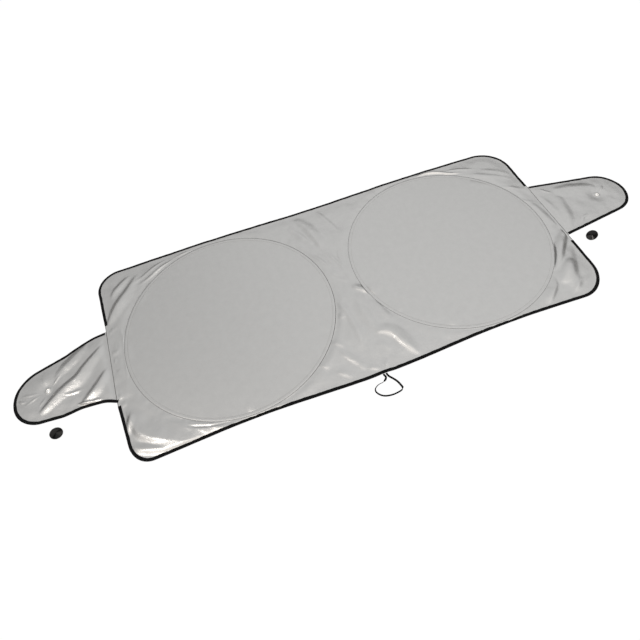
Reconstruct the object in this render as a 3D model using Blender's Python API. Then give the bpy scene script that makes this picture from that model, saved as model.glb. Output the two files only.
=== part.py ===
"""Windscreen frost cover, opened out on a flat surface with its silver side up.

A cloth panel holds two sprung wire hoops in channels, each closed by a ring of tape sewn
to its back. An ear with an eyelet is sewn under each side edge, black binding is folded
round the free edges, an elastic loop hangs from the near edge, and two suction cups lie
beside the ears. Lengths are in metres. +X runs along the cover, +Y towards its far edge
and +Z up, and the cover lies at Z = 0.
"""
import math

import bmesh
import bpy
from mathutils import Matrix, Vector
from mathutils.geometry import delaunay_2d_cdt, intersect_line_line_2d

# Cloth and tape
CLOTH = 0.0004
BINDING_TAPE = 0.0004
CHANNEL_TAPE = 0.0004
GAP = 0.0003

# Panel, as it lies
PANEL_DEPTH = 0.700
LEAN_LEFT = math.radians(4.9)
LEAN_RIGHT = math.radians(2.5)
RADIUS_FAR_LEFT = 0.075
RADIUS_FAR_RIGHT = 0.105
RADIUS_NEAR_LEFT = 0.065
RADIUS_NEAR_RIGHT = 0.100
NEAR_WAVE = 0.006
FAR_WAVE = 0.003
WAVE_FADE = 8  # power by which the waves fade from the edges towards the panel's middle line
BINDING_WIDTH = 0.007

# Hoops and their channels
HOOP_STRETCH = 0.016
HOOP_SIDE_GAP = 0.0465
HOOP_MIDDLE_GAP = 0.103
CHANNEL_EDGE_GAP = 0.001
CHANNEL_TAPE_WIDTH = 0.016
STITCH_SPACING = 0.010
WIRE_DIAMETER = 0.002

# Ears and their seams
EAR_LENGTH = 0.300
EAR_BASE = 0.247
EAR_TIP_RADIUS = 0.088
EAR_Y_LEFT = -0.017
EAR_Y_RIGHT = -0.006
SEAM_LAP = 0.006
SEAM_COVER = 0.003
BARE_HEM = 0.025
BARE_HEM_FAR_RIGHT = 0.006

# Eyelets and their washers
EYELET_FROM_TIP = 0.103
EYELET_BORE = 0.008
EYELET_WALL = 0.0004
EYELET_FLANGE = 0.015
EYELET_FLANGE_HEIGHT = 0.0008
EYELET_BEVEL = 0.0004
EYELET_ROLL = 0.012
EYELET_ROLL_HEIGHT = 0.0005
EYELET_LAND = 0.0015
WASHER = 0.0005

# Elastic loop. Its route is counted from the middle of the pinched edge.
BAND_WIDTH = 0.006
BAND_THICKNESS = 0.001
LOOP_X = -0.0085
LOOP_PINCH = 0.002
LOOP_PINCH_REACH = 0.020
LOOP_SEAT = 0.010
PINCH_STATIONS = (0.8 * LOOP_PINCH_REACH, 1.4 * LOOP_PINCH_REACH)
LOOP_STEPS = 2
FLAT, ON_EDGE = math.radians(90), 0.0
LOOP_ROUTE = [
    (-0.0043, 0.000, FLAT), (-0.0043, -0.004, FLAT), (-0.0024, -0.010, FLAT),
    (-0.0053, -0.016, FLAT), (-0.0110, -0.020, FLAT / 2), (-0.0180, -0.023, ON_EDGE),
    (-0.0320, -0.025, ON_EDGE), (-0.0430, -0.031, ON_EDGE), (-0.0470, -0.039, ON_EDGE),
    (-0.0440, -0.048, ON_EDGE), (-0.0360, -0.057, ON_EDGE), (-0.0240, -0.063, ON_EDGE),
    (-0.0060, -0.066, ON_EDGE), (0.0115, -0.065, ON_EDGE), (0.0235, -0.062, ON_EDGE),
    (0.0275, -0.057, FLAT / 2), (0.0270, -0.049, FLAT), (0.0220, -0.034, FLAT),
    (0.0145, -0.022, FLAT), (0.0070, -0.012, FLAT), (0.0043, -0.004, FLAT),
    (0.0043, 0.000, FLAT),
]

# Suction cups
CUP_DIAMETER = 0.033
CUP_HOLLOW = 0.0075
CUP_RIM = 0.0012
CUP_WALL = 0.0020
STEM_CLEARANCE = 0.0006
STEM_LENGTH = 0.005
HEAD_GRIP = 0.003
HEAD_HEIGHT = 0.006
HEAD_CROWN_WIDTH = 0.7
HEAD_CROWN_DROP = 0.12
HEAD_FOOT_WIDTH = 0.85
BELL_STATIONS = (0.0, 0.35, 0.7, 1.0)
CUP_LEFT_EAR_GAP = 0.0128
CUP_RIGHT_EAR_GAP = 0.0196
CUP_LEFT_SEAM_GAP = 0.1627
CUP_RIGHT_SEAM_GAP = 0.0391
CUP_LEFT_FACES = math.radians(-45)
CUP_RIGHT_FACES = math.radians(220)

# Fineness of the meshes
EDGE_STEP = 0.045
CORNER_STEP = 0.014
HOOP_SEGMENTS = 54
WIRE_SIDES = 6
EYELET_SEGMENTS = 20
CUP_SEGMENTS = 24
FOLD_STEPS = 4

# Folds of the panel: angle, reach, angle, reach, half width, height. An angle is in degrees
# from +X round the middle of the hoop, and a reach goes from 0 at the channel to 1 at the
# binding or at the panel's middle line.
FOLDS_LEFT = [
    (157, 0.14, 124, 0.16, 0.009, 0.006),
    (153, 0.52, 128, 0.48, 0.012, 0.008),
    (147, 0.84, 134, 0.82, 0.009, 0.005),
    (205, 0.36, 222, 0.30, 0.010, 0.006),
    (213, 0.78, 221, 0.60, 0.010, 0.007),
    (225, 0.78, 236, 0.74, 0.012, 0.010),
    (229, 0.30, 240, 0.36, 0.008, 0.006),
    (168, 0.22, 169, 0.74, 0.006, 0.004),
    (180, 0.22, 181, 0.74, 0.006, 0.004),
    (197, 0.22, 198, 0.74, 0.006, 0.005),
    (47, 0.62, 32, 0.30, 0.018, 0.006),
    (66, 0.34, 56, 0.50, 0.008, 0.004),
    (334, 0.25, 330, 0.65, 0.009, 0.005),
    (350, 0.25, 356, 0.75, 0.007, 0.004),
    (313, 0.35, 320, 0.50, 0.011, 0.006),
    (303, 0.50, 308, 0.70, 0.008, 0.004),
]
FOLDS_RIGHT = [
    (207, 0.58, 215, 0.42, 0.010, 0.008),
    (219, 0.42, 228, 0.56, 0.011, 0.008),
    (197, 0.30, 189, 0.65, 0.009, 0.005),
    (170, 0.30, 160, 0.65, 0.009, 0.004),
    (80, 0.48, 62, 0.30, 0.008, 0.006),
    (58, 0.62, 42, 0.36, 0.010, 0.005),
    (340, 0.72, 328, 0.20, 0.013, 0.008),
    (298, 0.50, 309, 0.26, 0.009, 0.006),
    (326, 0.74, 316, 0.66, 0.012, 0.007),
]

# Folds of the ears: along, across, along, across, half width, height. Along goes from 0 at
# the seam to 1 at the tip, and across from -1 to 1 over the width of the seam.
FOLDS_EAR_LEFT = [
    (0.10, -0.62, 0.42, 0.10, 0.013, 0.007),
    (0.12, -0.02, 0.44, 0.58, 0.013, 0.008),
    (0.08, 0.42, 0.24, 0.72, 0.009, 0.005),
    (0.46, -0.58, 0.58, -0.22, 0.009, 0.005),
    (0.84, 0.34, 0.90, 0.06, 0.006, 0.003),
]
FOLDS_EAR_RIGHT = [
    (0.30, 0.64, 0.66, 0.56, 0.012, 0.006),
    (0.14, 0.20, 0.13, -0.70, 0.012, 0.007),
    (0.24, 0.38, 0.54, 0.22, 0.009, 0.004),
    (0.42, -0.54, 0.56, -0.20, 0.009, 0.004),
    (0.84, 0.24, 0.90, -0.10, 0.006, 0.003),
]

# Heights of the underside of the cloth where it lies on tape, over an ear and in an eyelet
LIE_Z = max(BINDING_TAPE, CHANNEL_TAPE) + GAP
SEAM_Z = LIE_Z + CLOTH + GAP
EYELET_Z = EYELET_ROLL_HEIGHT + GAP + WASHER + GAP

# Half sizes that follow from the sizes above
HALF_DEPTH = PANEL_DEPTH / 2
HOOP_HALF_DEPTH = HALF_DEPTH - NEAR_WAVE - BINDING_WIDTH - CHANNEL_EDGE_GAP - CHANNEL_TAPE_WIDTH / 2
HOOP_HALF_WIDTH = HOOP_HALF_DEPTH + HOOP_STRETCH / 2
HOOP_X = HOOP_MIDDLE_GAP / 2 + HOOP_HALF_WIDTH
HALF_WIDTH = HOOP_X + HOOP_HALF_WIDTH + HOOP_SIDE_GAP
WIRE_RADIUS = WIRE_DIAMETER / 2
WIRE_Z = CHANNEL_TAPE + GAP + WIRE_RADIUS
BARREL_RADIUS = EYELET_BORE / 2 + EYELET_WALL
STEM_RADIUS = EYELET_BORE / 2 - STEM_CLEARANCE
HEAD_RADIUS = EYELET_BORE / 2 + HEAD_GRIP


def clear_scene():
    """Remove the objects of the file that the script starts in."""
    for obj in list(bpy.data.objects):
        bpy.data.objects.remove(obj)


def finish_material(name, colour, roughness, metallic=0.0):
    """Make a Principled material."""
    material = bpy.data.materials.new(name)
    material.use_nodes = True
    shader = material.node_tree.nodes["Principled BSDF"]
    shader.inputs["Base Color"].default_value = (*colour, 1.0)
    shader.inputs["Roughness"].default_value = roughness
    shader.inputs["Metallic"].default_value = metallic
    material.diffuse_color = (*colour, 1.0)
    return material


def add_object(name, data, material, parent=None):
    """Link an object that holds the mesh or curve, with its material."""
    data.materials.append(material)
    obj = bpy.data.objects.new(name, data)
    bpy.context.scene.collection.objects.link(obj)
    obj.parent = parent
    return obj


def mesh_object(name, bm, material, parent=None):
    """Turn a bmesh into a smoothly shaded object with outward faces."""
    bmesh.ops.recalc_face_normals(bm, faces=bm.faces[:])
    mesh = bpy.data.meshes.new(name)
    bm.to_mesh(mesh)
    bm.free()
    mesh.shade_smooth()
    mesh.set_sharp_from_angle(angle=math.radians(40))
    return add_object(name, mesh, material, parent)


def add_frame(name, location, turn):
    """Add an empty that carries the pieces of an ear, or a suction cup."""
    frame = bpy.data.objects.new(name, None)
    frame.location = location
    frame.rotation_euler = turn
    bpy.context.scene.collection.objects.link(frame)
    return frame


def spaced(start, end, step):
    """Points from start up to, but not at, end, no further apart than a step."""
    count = max(1, math.ceil((end - start).length / step))
    return [start.lerp(end, i / count) for i in range(count)]


def circle(centre, radius, segments):
    """Counter-clockwise points of a circle."""
    angles = [2 * math.pi * i / segments for i in range(segments)]
    return [centre + Vector((math.cos(a), math.sin(a))) * radius for a in angles]


def offset_loop(points, distance):
    """Move the sides of a closed counter-clockwise outline outwards by a distance."""
    moved = []
    for before, here, after in zip(points[-1:] + points[:-1], points, points[1:] + points[:1]):
        side_in = (here - before).normalized()
        side_out = (after - here).normalized()
        normal = Vector((side_in.y, -side_in.x))
        middle = (normal + Vector((side_out.y, -side_out.x))).normalized()
        moved.append(here + middle * distance / middle.dot(normal))
    return moved


def sections(outline, profile):
    """Set a profile of (outward, height) points on every point of a closed outline."""
    rails = [(offset_loop(outline, outward), height) for outward, height in profile]
    return [[(*rail[i], height) for rail, height in rails] for i in range(len(outline))]


def sweep(name, rings, material, parent=None, closed=False):
    """Join cross-sections, each a list of points, into one solid."""
    bm = bmesh.new()
    rings = [[bm.verts.new(point) for point in ring] for ring in rings]
    pairs = list(zip(rings, rings[1:]))
    if closed:
        pairs.append((rings[-1], rings[0]))
    else:
        bm.faces.new(rings[0])
        bm.faces.new(rings[-1])
    for near, far in pairs:
        for i in range(len(near)):
            bm.faces.new((near[i - 1], near[i], far[i], far[i - 1]))
    return mesh_object(name, bm, material, parent)


def lathe(name, profile, segments, material, parent=None, closed=False):
    """Spin a profile of (radius, height) points round the Z axis."""
    bm = bmesh.new()
    verts = [bm.verts.new((radius, 0, height)) for radius, height in profile]
    edges = [bm.edges.new(pair) for pair in zip(verts, verts[1:])]
    if closed:
        edges.append(bm.edges.new((verts[-1], verts[0])))
    bmesh.ops.spin(bm, geom=verts + edges, axis=(0, 0, 1), cent=(0, 0, 0),
                   angle=2 * math.pi, steps=segments, use_merge=True)
    bmesh.ops.remove_doubles(bm, verts=bm.verts[:], dist=0.00001)
    return mesh_object(name, bm, material, parent)


class Sheet:
    """Plan of a piece of cloth: its points, the height of its underside there, its creases."""

    def __init__(self, border, heights):
        """Start from the outline, with a level strip as wide as the binding along it."""
        self.points = []
        self.heights = []
        self.creases = []
        self.holes = []
        self.inner_border = offset_loop(border, -BINDING_WIDTH)
        self.add_loop(border, heights)
        self.add_loop(self.inner_border, heights)

    def add_points(self, points, heights):
        self.points += points
        self.heights += heights
        return list(range(len(self.points) - len(points), len(self.points)))

    def add_loop(self, points, heights):
        ids = self.add_points(points, heights)
        self.creases += zip(ids, ids[1:] + ids[:1])

    def add_hole(self, centre, radius, land_radius, height, segments):
        """Cut a round hole in a raised round land."""
        for loop_radius in (radius, land_radius):
            self.add_loop(circle(centre, loop_radius, segments), [height] * segments)
        self.holes.append((centre, radius))

    def add_fold(self, path, half_width, height):
        """Raise a ridge along a path, widest and highest at its middle."""
        ends = self.add_points([path[0], path[-1]], [LIE_Z, LIE_Z])
        swells = [math.sin(math.pi * i / (len(path) - 1)) for i in range(len(path))]
        for side, rise in ((-1, 0.0), (0, height), (1, 0.0)):
            points, heights = [], []
            for before, here, after, swell in zip(path, path[1:], path[2:], swells[1:]):
                along = (after - before).normalized()
                points.append(here + Vector((-along.y, along.x)) * side * half_width * swell)
                heights.append(LIE_Z + rise * swell)
            ids = [ends[0]] + self.add_points(points, heights) + [ends[1]]
            self.creases += zip(ids, ids[1:])

    def height_at(self, place, ids):
        """Height of a corner of the filled plan. Where two creases cross it is the nearest point's."""
        if not ids:
            ids = [min(range(len(self.points)), key=lambda i: (self.points[i] - place).length)]
        return self.heights[ids[0]]

    def build(self, name, material, parent=None):
        """Fill the plan with triangles and give it the thickness of the cloth."""
        corners, _, faces, origins, _, _ = delaunay_2d_cdt(
            self.points, self.creases, [], 1, 1e-7)
        bm = bmesh.new()
        verts = [bm.verts.new((*co, self.height_at(co, ids))) for co, ids in zip(corners, origins)]
        for face in faces:
            middle = sum((corners[i] for i in face), Vector((0, 0))) / len(face)
            if all((middle - centre).length > radius for centre, radius in self.holes):
                bm.faces.new([verts[i] for i in face])
        raised = bmesh.ops.extrude_face_region(bm, geom=bm.faces[:])
        top = [v for v in raised["geom"] if isinstance(v, bmesh.types.BMVert)]
        bmesh.ops.translate(bm, verts=top, vec=(0, 0, CLOTH))
        return mesh_object(name, bm, material, parent)


def side_x(side, y):
    """X of the panel's left or right edge, before its corners are rounded."""
    lean = LEAN_LEFT if side < 0 else LEAN_RIGHT
    return side * (HALF_WIDTH + math.tan(lean) * y)


def ear_place(side):
    """Middle of an ear's seam, and the direction in which the ear points away from it."""
    y = EAR_Y_LEFT if side < 0 else EAR_Y_RIGHT
    turn = math.pi + LEAN_LEFT if side < 0 else -LEAN_RIGHT
    return Vector((side_x(side, y), y)), turn


def from_ear(side, along, across):
    """Place on the plan of a point given in an ear's own frame."""
    middle, turn = ear_place(side)
    return middle + Matrix.Rotation(turn, 2) @ Vector((along, across))


def lay(point):
    """Wave the panel's near and far edges, and pinch the near edge at the elastic loop."""
    wave = math.cos(math.pi * point.x / HOOP_X)
    if point.y < 0:
        outward = NEAR_WAVE * wave - LOOP_PINCH * math.exp(-((point.x - LOOP_X) / LOOP_PINCH_REACH) ** 2)
    else:
        outward = -FAR_WAVE * wave
    share = (abs(point.y) / HALF_DEPTH) ** WAVE_FADE
    return Vector((point.x, point.y + math.copysign(share, point.y) * outward))


def rounded_corner(before, corner, after, radius):
    """Points of the arc that rounds a corner of a counter-clockwise outline."""
    back = (before - corner).normalized()
    forth = (after - corner).normalized()
    half = back.angle(forth) / 2
    centre = corner + (back + forth).normalized() * radius / math.sin(half)
    first = corner + back * radius / math.tan(half) - centre
    turn = math.pi - 2 * half
    count = max(2, math.ceil(turn * radius / CORNER_STEP))
    return [centre + Matrix.Rotation(turn * i / count, 2) @ first for i in range(count + 1)]


def bound_edge(start, corners, end):
    """Points of a stretch of the panel's edge that turns two rounded corners."""
    first, second = [rounded_corner(*corner) for corner in corners]
    side = spaced(start, first[0], EDGE_STEP)
    long_side = spaced(first[-1], second[0], EDGE_STEP)[1:]
    if start.y < 0:
        long_side = [p for p in long_side if abs(p.x - LOOP_X) > 2 * LOOP_PINCH_REACH]
        for away in (LOOP_SEAT, *PINCH_STATIONS):
            long_side += [Vector((LOOP_X + x, -HALF_DEPTH)) for x in (-away, away)]
        long_side.sort(key=lambda p: p.x)
    last_side = spaced(second[-1], end, EDGE_STEP)[1:] + [end]
    return [lay(p) for p in side + first + long_side + second + last_side]


def seam_edge(side):
    """Points of the panel's edge where it lies over an ear."""
    half = EAR_BASE / 2 + SEAM_COVER
    start, end = from_ear(side, 0, -half), from_ear(side, 0, half)
    return spaced(start, end, EDGE_STEP) + [end]


def panel_stretches():
    """The panel's edge, counter-clockwise: near, right seam, far and left seam stretches."""
    near_left, near_right, far_right, far_left = [
        Vector((side_x(side, y), y)) for side, y in
        ((-1, -HALF_DEPTH), (1, -HALF_DEPTH), (1, HALF_DEPTH), (-1, HALF_DEPTH))]
    hem_end = EAR_BASE / 2 + BARE_HEM
    far_right_end = EAR_BASE / 2 + BARE_HEM_FAR_RIGHT
    near = bound_edge(
        from_ear(-1, 0, hem_end),
        [(far_left, near_left, near_right, RADIUS_NEAR_LEFT),
         (near_left, near_right, far_right, RADIUS_NEAR_RIGHT)],
        from_ear(1, 0, -hem_end))
    far = bound_edge(
        from_ear(1, 0, far_right_end),
        [(near_right, far_right, far_left, RADIUS_FAR_RIGHT),
         (far_right, far_left, near_left, RADIUS_FAR_LEFT)],
        from_ear(-1, 0, -hem_end))
    return near, seam_edge(1), far, seam_edge(-1)


def hoop_points(side):
    """Counter-clockwise points of a hoop, which the channel's pull makes slightly oval."""
    points = circle(Vector((0, 0)), 1, HOOP_SEGMENTS)
    return [Vector((side * HOOP_X + p.x * HOOP_HALF_WIDTH, p.y * HOOP_HALF_DEPTH)) for p in points]


def ridge_height():
    """Height at which the cloth over the wire clears it on its way up from the stitches."""
    run = STITCH_SPACING / 2
    rise = WIRE_Z - LIE_Z
    slope = math.atan2(rise, run) + math.asin((WIRE_RADIUS + GAP) / math.hypot(run, rise))
    return LIE_Z + run * math.tan(slope)


def fold_path(side, fold, inner_border):
    """Points of a panel fold, from its angles and reaches round the hoop."""
    centre = Vector((side * HOOP_X, 0))
    middle_line = [Vector((0, -PANEL_DEPTH)), Vector((0, PANEL_DEPTH))]
    walls = list(zip(inner_border, inner_border[1:] + inner_border[:1])) + [middle_line]
    path = []
    for i in range(FOLD_STEPS + 1):
        part = i / FOLD_STEPS
        angle = math.radians(fold[0] + (fold[2] - fold[0]) * part)
        reach = fold[1] + (fold[3] - fold[1]) * part
        ray = Vector((math.cos(angle), math.sin(angle)))
        hoop = 1 / math.hypot(ray.x / HOOP_HALF_WIDTH, ray.y / HOOP_HALF_DEPTH)
        hits = [intersect_line_line_2d(centre, centre + ray * 2 * HALF_WIDTH, *wall) for wall in walls]
        outer = min((hit - centre).length for hit in hits if hit)
        inner = hoop + STITCH_SPACING / 2
        path.append(centre + ray * (inner + (outer - inner) * reach))
    return path


def build_panel(stretches, material):
    """The silver panel, with the ridges over the hoops and the folds round them."""
    near, right_seam, far, left_seam = stretches
    border = near + right_seam + far + left_seam
    heights = ([LIE_Z] * len(near) + [SEAM_Z] * len(right_seam)
               + [LIE_Z] * len(far) + [SEAM_Z] * len(left_seam))
    sheet = Sheet(border, heights)
    for side, folds in ((-1, FOLDS_LEFT), (1, FOLDS_RIGHT)):
        hoop = hoop_points(side)
        row = STITCH_SPACING / 2
        for outward, height in ((-row, LIE_Z), (0, ridge_height()), (row, LIE_Z)):
            sheet.add_loop(offset_loop(hoop, outward), [height] * len(hoop))
        sheet.add_points([Vector((side * HOOP_X, 0))], [LIE_Z])
        for fold in folds:
            sheet.add_fold(fold_path(side, fold, sheet.inner_border), *fold[4:])
    return sheet.build("main_panel", material)


def build_hoop(side, word, wire_material, tape_material):
    """A sprung wire hoop, and the ring of tape that closes its channel at the back."""
    hoop = hoop_points(side)
    turns = [2 * math.pi * i / WIRE_SIDES for i in range(WIRE_SIDES)]
    wire = [(WIRE_RADIUS * math.sin(a), WIRE_Z + WIRE_RADIUS * math.cos(a)) for a in turns]
    sweep(f"hoop_wire_{word}", sections(hoop, wire), wire_material, closed=True)
    half = CHANNEL_TAPE_WIDTH / 2
    tape = [(-half, 0), (half, 0), (half, CHANNEL_TAPE), (-half, CHANNEL_TAPE)]
    sweep(f"hoop_channel_{word}", sections(hoop, tape), tape_material, closed=True)


def binding_profile():
    """Section of the binding, folded round the edge of the cloth with its two legs inwards."""
    fold_inside = GAP
    fold_outside = GAP + BINDING_TAPE
    cloth_top = LIE_Z + CLOTH
    return [
        (-BINDING_WIDTH, LIE_Z - fold_outside), (fold_outside, LIE_Z - fold_outside),
        (fold_outside, cloth_top + fold_outside), (-BINDING_WIDTH, cloth_top + fold_outside),
        (-BINDING_WIDTH, cloth_top + GAP), (fold_inside, cloth_top + GAP),
        (fold_inside, LIE_Z - GAP), (-BINDING_WIDTH, LIE_Z - GAP),
    ]


def build_panel_binding(stretches, material):
    """The two lengths of black binding on the panel, which stop short of the ears."""
    near, right_seam, far, _ = stretches
    rings = sections([p for stretch in stretches for p in stretch], binding_profile())
    far_start = len(near) + len(right_seam)
    sweep("panel_binding_near", rings[:len(near)], material)
    sweep("panel_binding_far", rings[far_start:far_start + len(far)], material)


def ear_outline():
    """Outline of an ear in its own frame, and how many of its points are under the panel."""
    half = EAR_BASE / 2
    middle = Vector((EAR_LENGTH - EAR_TIP_RADIUS, 0))
    to_middle = middle - Vector((0, -half))
    taper = math.atan2(to_middle.y, to_middle.x) - math.asin(EAR_TIP_RADIUS / to_middle.length)
    along = Vector((math.cos(taper), math.sin(taper)))
    corner = Vector((0, -half))
    touch = middle + Vector((along.y, -along.x)) * EAR_TIP_RADIUS
    binding_start = corner + along * (BINDING_WIDTH * along.y + 2 * GAP) / along.x
    lower = [corner - along * SEAM_LAP / along.x] + spaced(binding_start, touch, EDGE_STEP)
    sweep_angle = math.pi - 2 * taper
    count = math.ceil(sweep_angle * EAR_TIP_RADIUS / (1.5 * CORNER_STEP))
    tip = [middle + Matrix.Rotation(sweep_angle * i / count, 2) @ (touch - middle) for i in range(count + 1)]
    upper = [Vector((p.x, -p.y)) for p in reversed(lower)]
    return lower + tip + upper


def ear_fold_path(fold):
    """Points of an ear fold in the ear's own frame."""
    start = Vector((fold[0] * EAR_LENGTH, fold[1] * EAR_BASE / 2))
    end = Vector((fold[2] * EAR_LENGTH, fold[3] * EAR_BASE / 2))
    return [start.lerp(end, i / FOLD_STEPS) for i in range(FOLD_STEPS + 1)]


def build_ear(side, word, folds, materials):
    """An ear with its binding, eyelet and washer, in a frame at the middle of its seam."""
    middle, turn = ear_place(side)
    frame = add_frame(f"ear_frame_{word}", (*middle, 0), (0, 0, turn))
    outline = ear_outline()
    sheet = Sheet(outline, [LIE_Z] * len(outline))
    eyelet = Vector((EAR_LENGTH - EYELET_FROM_TIP, 0))
    sheet.add_hole(eyelet, BARREL_RADIUS + GAP, EYELET_FLANGE / 2 + EYELET_LAND, EYELET_Z, EYELET_SEGMENTS)
    for fold in folds:
        sheet.add_fold(ear_fold_path(fold), *fold[4:])
    sheet.build(f"ear_{word}", materials["silver cloth"], frame)
    rings = sections(outline, binding_profile())[1:-1]
    sweep(f"ear_binding_{word}", rings, materials["black binding"], frame)
    build_eyelet(word, eyelet, frame, materials["nickel plate"])


def build_eyelet(word, place, frame, material):
    """An eyelet, rolled over under its washer, with the cloth held between its flange and that."""
    bore = EYELET_BORE / 2
    flange = EYELET_FLANGE / 2
    flange_z = EYELET_Z + CLOTH + GAP
    top = flange_z + EYELET_FLANGE_HEIGHT
    profile = [
        (bore, 0), (EYELET_ROLL / 2, 0), (EYELET_ROLL / 2, EYELET_ROLL_HEIGHT),
        (BARREL_RADIUS, EYELET_ROLL_HEIGHT), (BARREL_RADIUS, flange_z), (flange, flange_z),
        (flange, top - EYELET_BEVEL), (flange - EYELET_BEVEL, top),
        (bore + EYELET_BEVEL, top), (bore, top - EYELET_BEVEL),
    ]
    eyelet = lathe(f"eyelet_{word}", profile, EYELET_SEGMENTS, material, frame, closed=True)
    eyelet.location = (*place, 0)
    bottom = EYELET_ROLL_HEIGHT + GAP
    inside = BARREL_RADIUS + GAP
    ring = [(inside, bottom), (flange, bottom), (flange, bottom + WASHER), (inside, bottom + WASHER)]
    washer = lathe(f"eyelet_washer_{word}", ring, EYELET_SEGMENTS, material, frame, closed=True)
    washer.location = (*place, 0)


def through(points, steps):
    """Points of a smooth curve through the given ones, with a number of steps between each two."""
    curve = []
    padded = [points[0] * 2 - points[1]] + points + [points[-1] * 2 - points[-2]]
    for a, b, c, d in zip(padded, padded[1:], padded[2:], padded[3:]):
        for i in range(steps):
            t = i / steps
            curve.append((b * 2 + (c - a) * t + (a * 2 - b * 5 + c * 4 - d) * t ** 2
                          + (b * 3 - a - c * 3 + d) * t ** 3) / 2)
    return curve + [points[-1]]


def build_loop(material):
    """The flat elastic band, which twists on to its edge between its two sewn ends."""
    seat = [lay(Vector((LOOP_X + x, -HALF_DEPTH))).y for x in (-LOOP_SEAT, LOOP_SEAT)]
    edge = min(seat) - GAP - BINDING_TAPE - GAP
    route = through([Vector((LOOP_X + x, edge + y, tilt)) for x, y, tilt in LOOP_ROUTE], LOOP_STEPS)
    data = bpy.data.curves.new("elastic_loop", "CURVE")
    data.dimensions = "3D"
    data.twist_mode = "Z_UP"
    data.extrude = (BAND_WIDTH - BAND_THICKNESS) / 2
    data.bevel_depth = BAND_THICKNESS / 2
    data.bevel_resolution = 0
    data.use_fill_caps = True
    spline = data.splines.new("POLY")
    spline.points.add(len(route) - 1)
    for point, (x, y, tilt) in zip(spline.points, route):
        half_height = data.extrude * abs(math.cos(tilt)) + BAND_THICKNESS / 2
        point.co = (x, y, half_height, 1)
        point.tilt = tilt
    return add_object("elastic_loop", data, material)


def cup_profile():
    """Section of a suction cup from the tip of its head, over the bell and into its hollow."""
    rim = CUP_DIAMETER / 2
    lip = rim - CUP_RIM
    bell_top = CUP_HOLLOW + CUP_WALL
    head_start = bell_top + STEM_LENGTH
    head_middle = head_start + HEAD_HEIGHT / 2
    head_top = head_start + HEAD_HEIGHT
    head = [(0, head_top), (HEAD_RADIUS * HEAD_CROWN_WIDTH, head_top - HEAD_HEIGHT * HEAD_CROWN_DROP),
            (HEAD_RADIUS, head_middle), (HEAD_RADIUS * HEAD_FOOT_WIDTH, head_start),
            (STEM_RADIUS, head_start)]
    bell = []
    for share in BELL_STATIONS:
        height = CUP_RIM + (bell_top - CUP_RIM) * (1 - share ** 2)
        bell.append((STEM_RADIUS + (rim - STEM_RADIUS) * share, height))
    hollow = [(lip * share, CUP_HOLLOW * (1 - share ** 2)) for share in reversed(BELL_STATIONS)]
    return head + bell + [(rim, 0)] + hollow, head_middle


def build_cup(side, word, seam_gap, ear_gap, faces, material):
    """A one-piece suction cup, lying on the rim of its bell and the rim of its head."""
    rim = CUP_DIAMETER / 2
    profile, head_middle = cup_profile()
    tilt = math.atan2(rim - HEAD_RADIUS, head_middle - CUP_RIM)
    across = EAR_BASE / 2 + ear_gap + rim
    place = from_ear(side, seam_gap + rim, -side * across)
    height = rim * math.cos(tilt) + CUP_RIM * math.sin(tilt)
    frame = add_frame(f"cup_frame_{word}", (*place, height), (0, -math.pi / 2 - tilt, faces))
    lathe(f"suction_cup_{word}", profile, CUP_SEGMENTS, material, frame)


def main():
    clear_scene()
    materials = {
        "silver cloth": finish_material("silver cloth", (0.56, 0.56, 0.55), 0.42, 0.55),
        "black binding": finish_material("black binding", (0.012, 0.012, 0.013), 0.75),
        "spring steel": finish_material("spring steel", (0.35, 0.35, 0.36), 0.35, 1.0),
        "nickel plate": finish_material("nickel plate", (0.75, 0.74, 0.72), 0.2, 1.0),
        "black elastic": finish_material("black elastic", (0.010, 0.010, 0.011), 0.8),
        "black rubber": finish_material("black rubber", (0.008, 0.008, 0.009), 0.25),
    }
    stretches = panel_stretches()
    build_panel(stretches, materials["silver cloth"])
    build_panel_binding(stretches, materials["black binding"])
    for side, word, folds in ((-1, "left", FOLDS_EAR_LEFT), (1, "right", FOLDS_EAR_RIGHT)):
        build_hoop(side, word, materials["spring steel"], materials["silver cloth"])
        build_ear(side, word, folds, materials)
    build_loop(materials["black elastic"])
    build_cup(-1, "left", CUP_LEFT_SEAM_GAP, CUP_LEFT_EAR_GAP, CUP_LEFT_FACES, materials["black rubber"])
    build_cup(1, "right", CUP_RIGHT_SEAM_GAP, CUP_RIGHT_EAR_GAP, CUP_RIGHT_FACES, materials["black rubber"])


main()
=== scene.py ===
"""Windscreen frost cover of silver coated cloth, laid out on a white studio floor.

It is laid out as a Blender add-on and runs as a script. Sizes are in metres.
"""
import math

import bmesh
import bpy
import numpy as np
from bpy.props import FloatProperty, FloatVectorProperty, PointerProperty
from mathutils import Matrix, Vector


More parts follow.
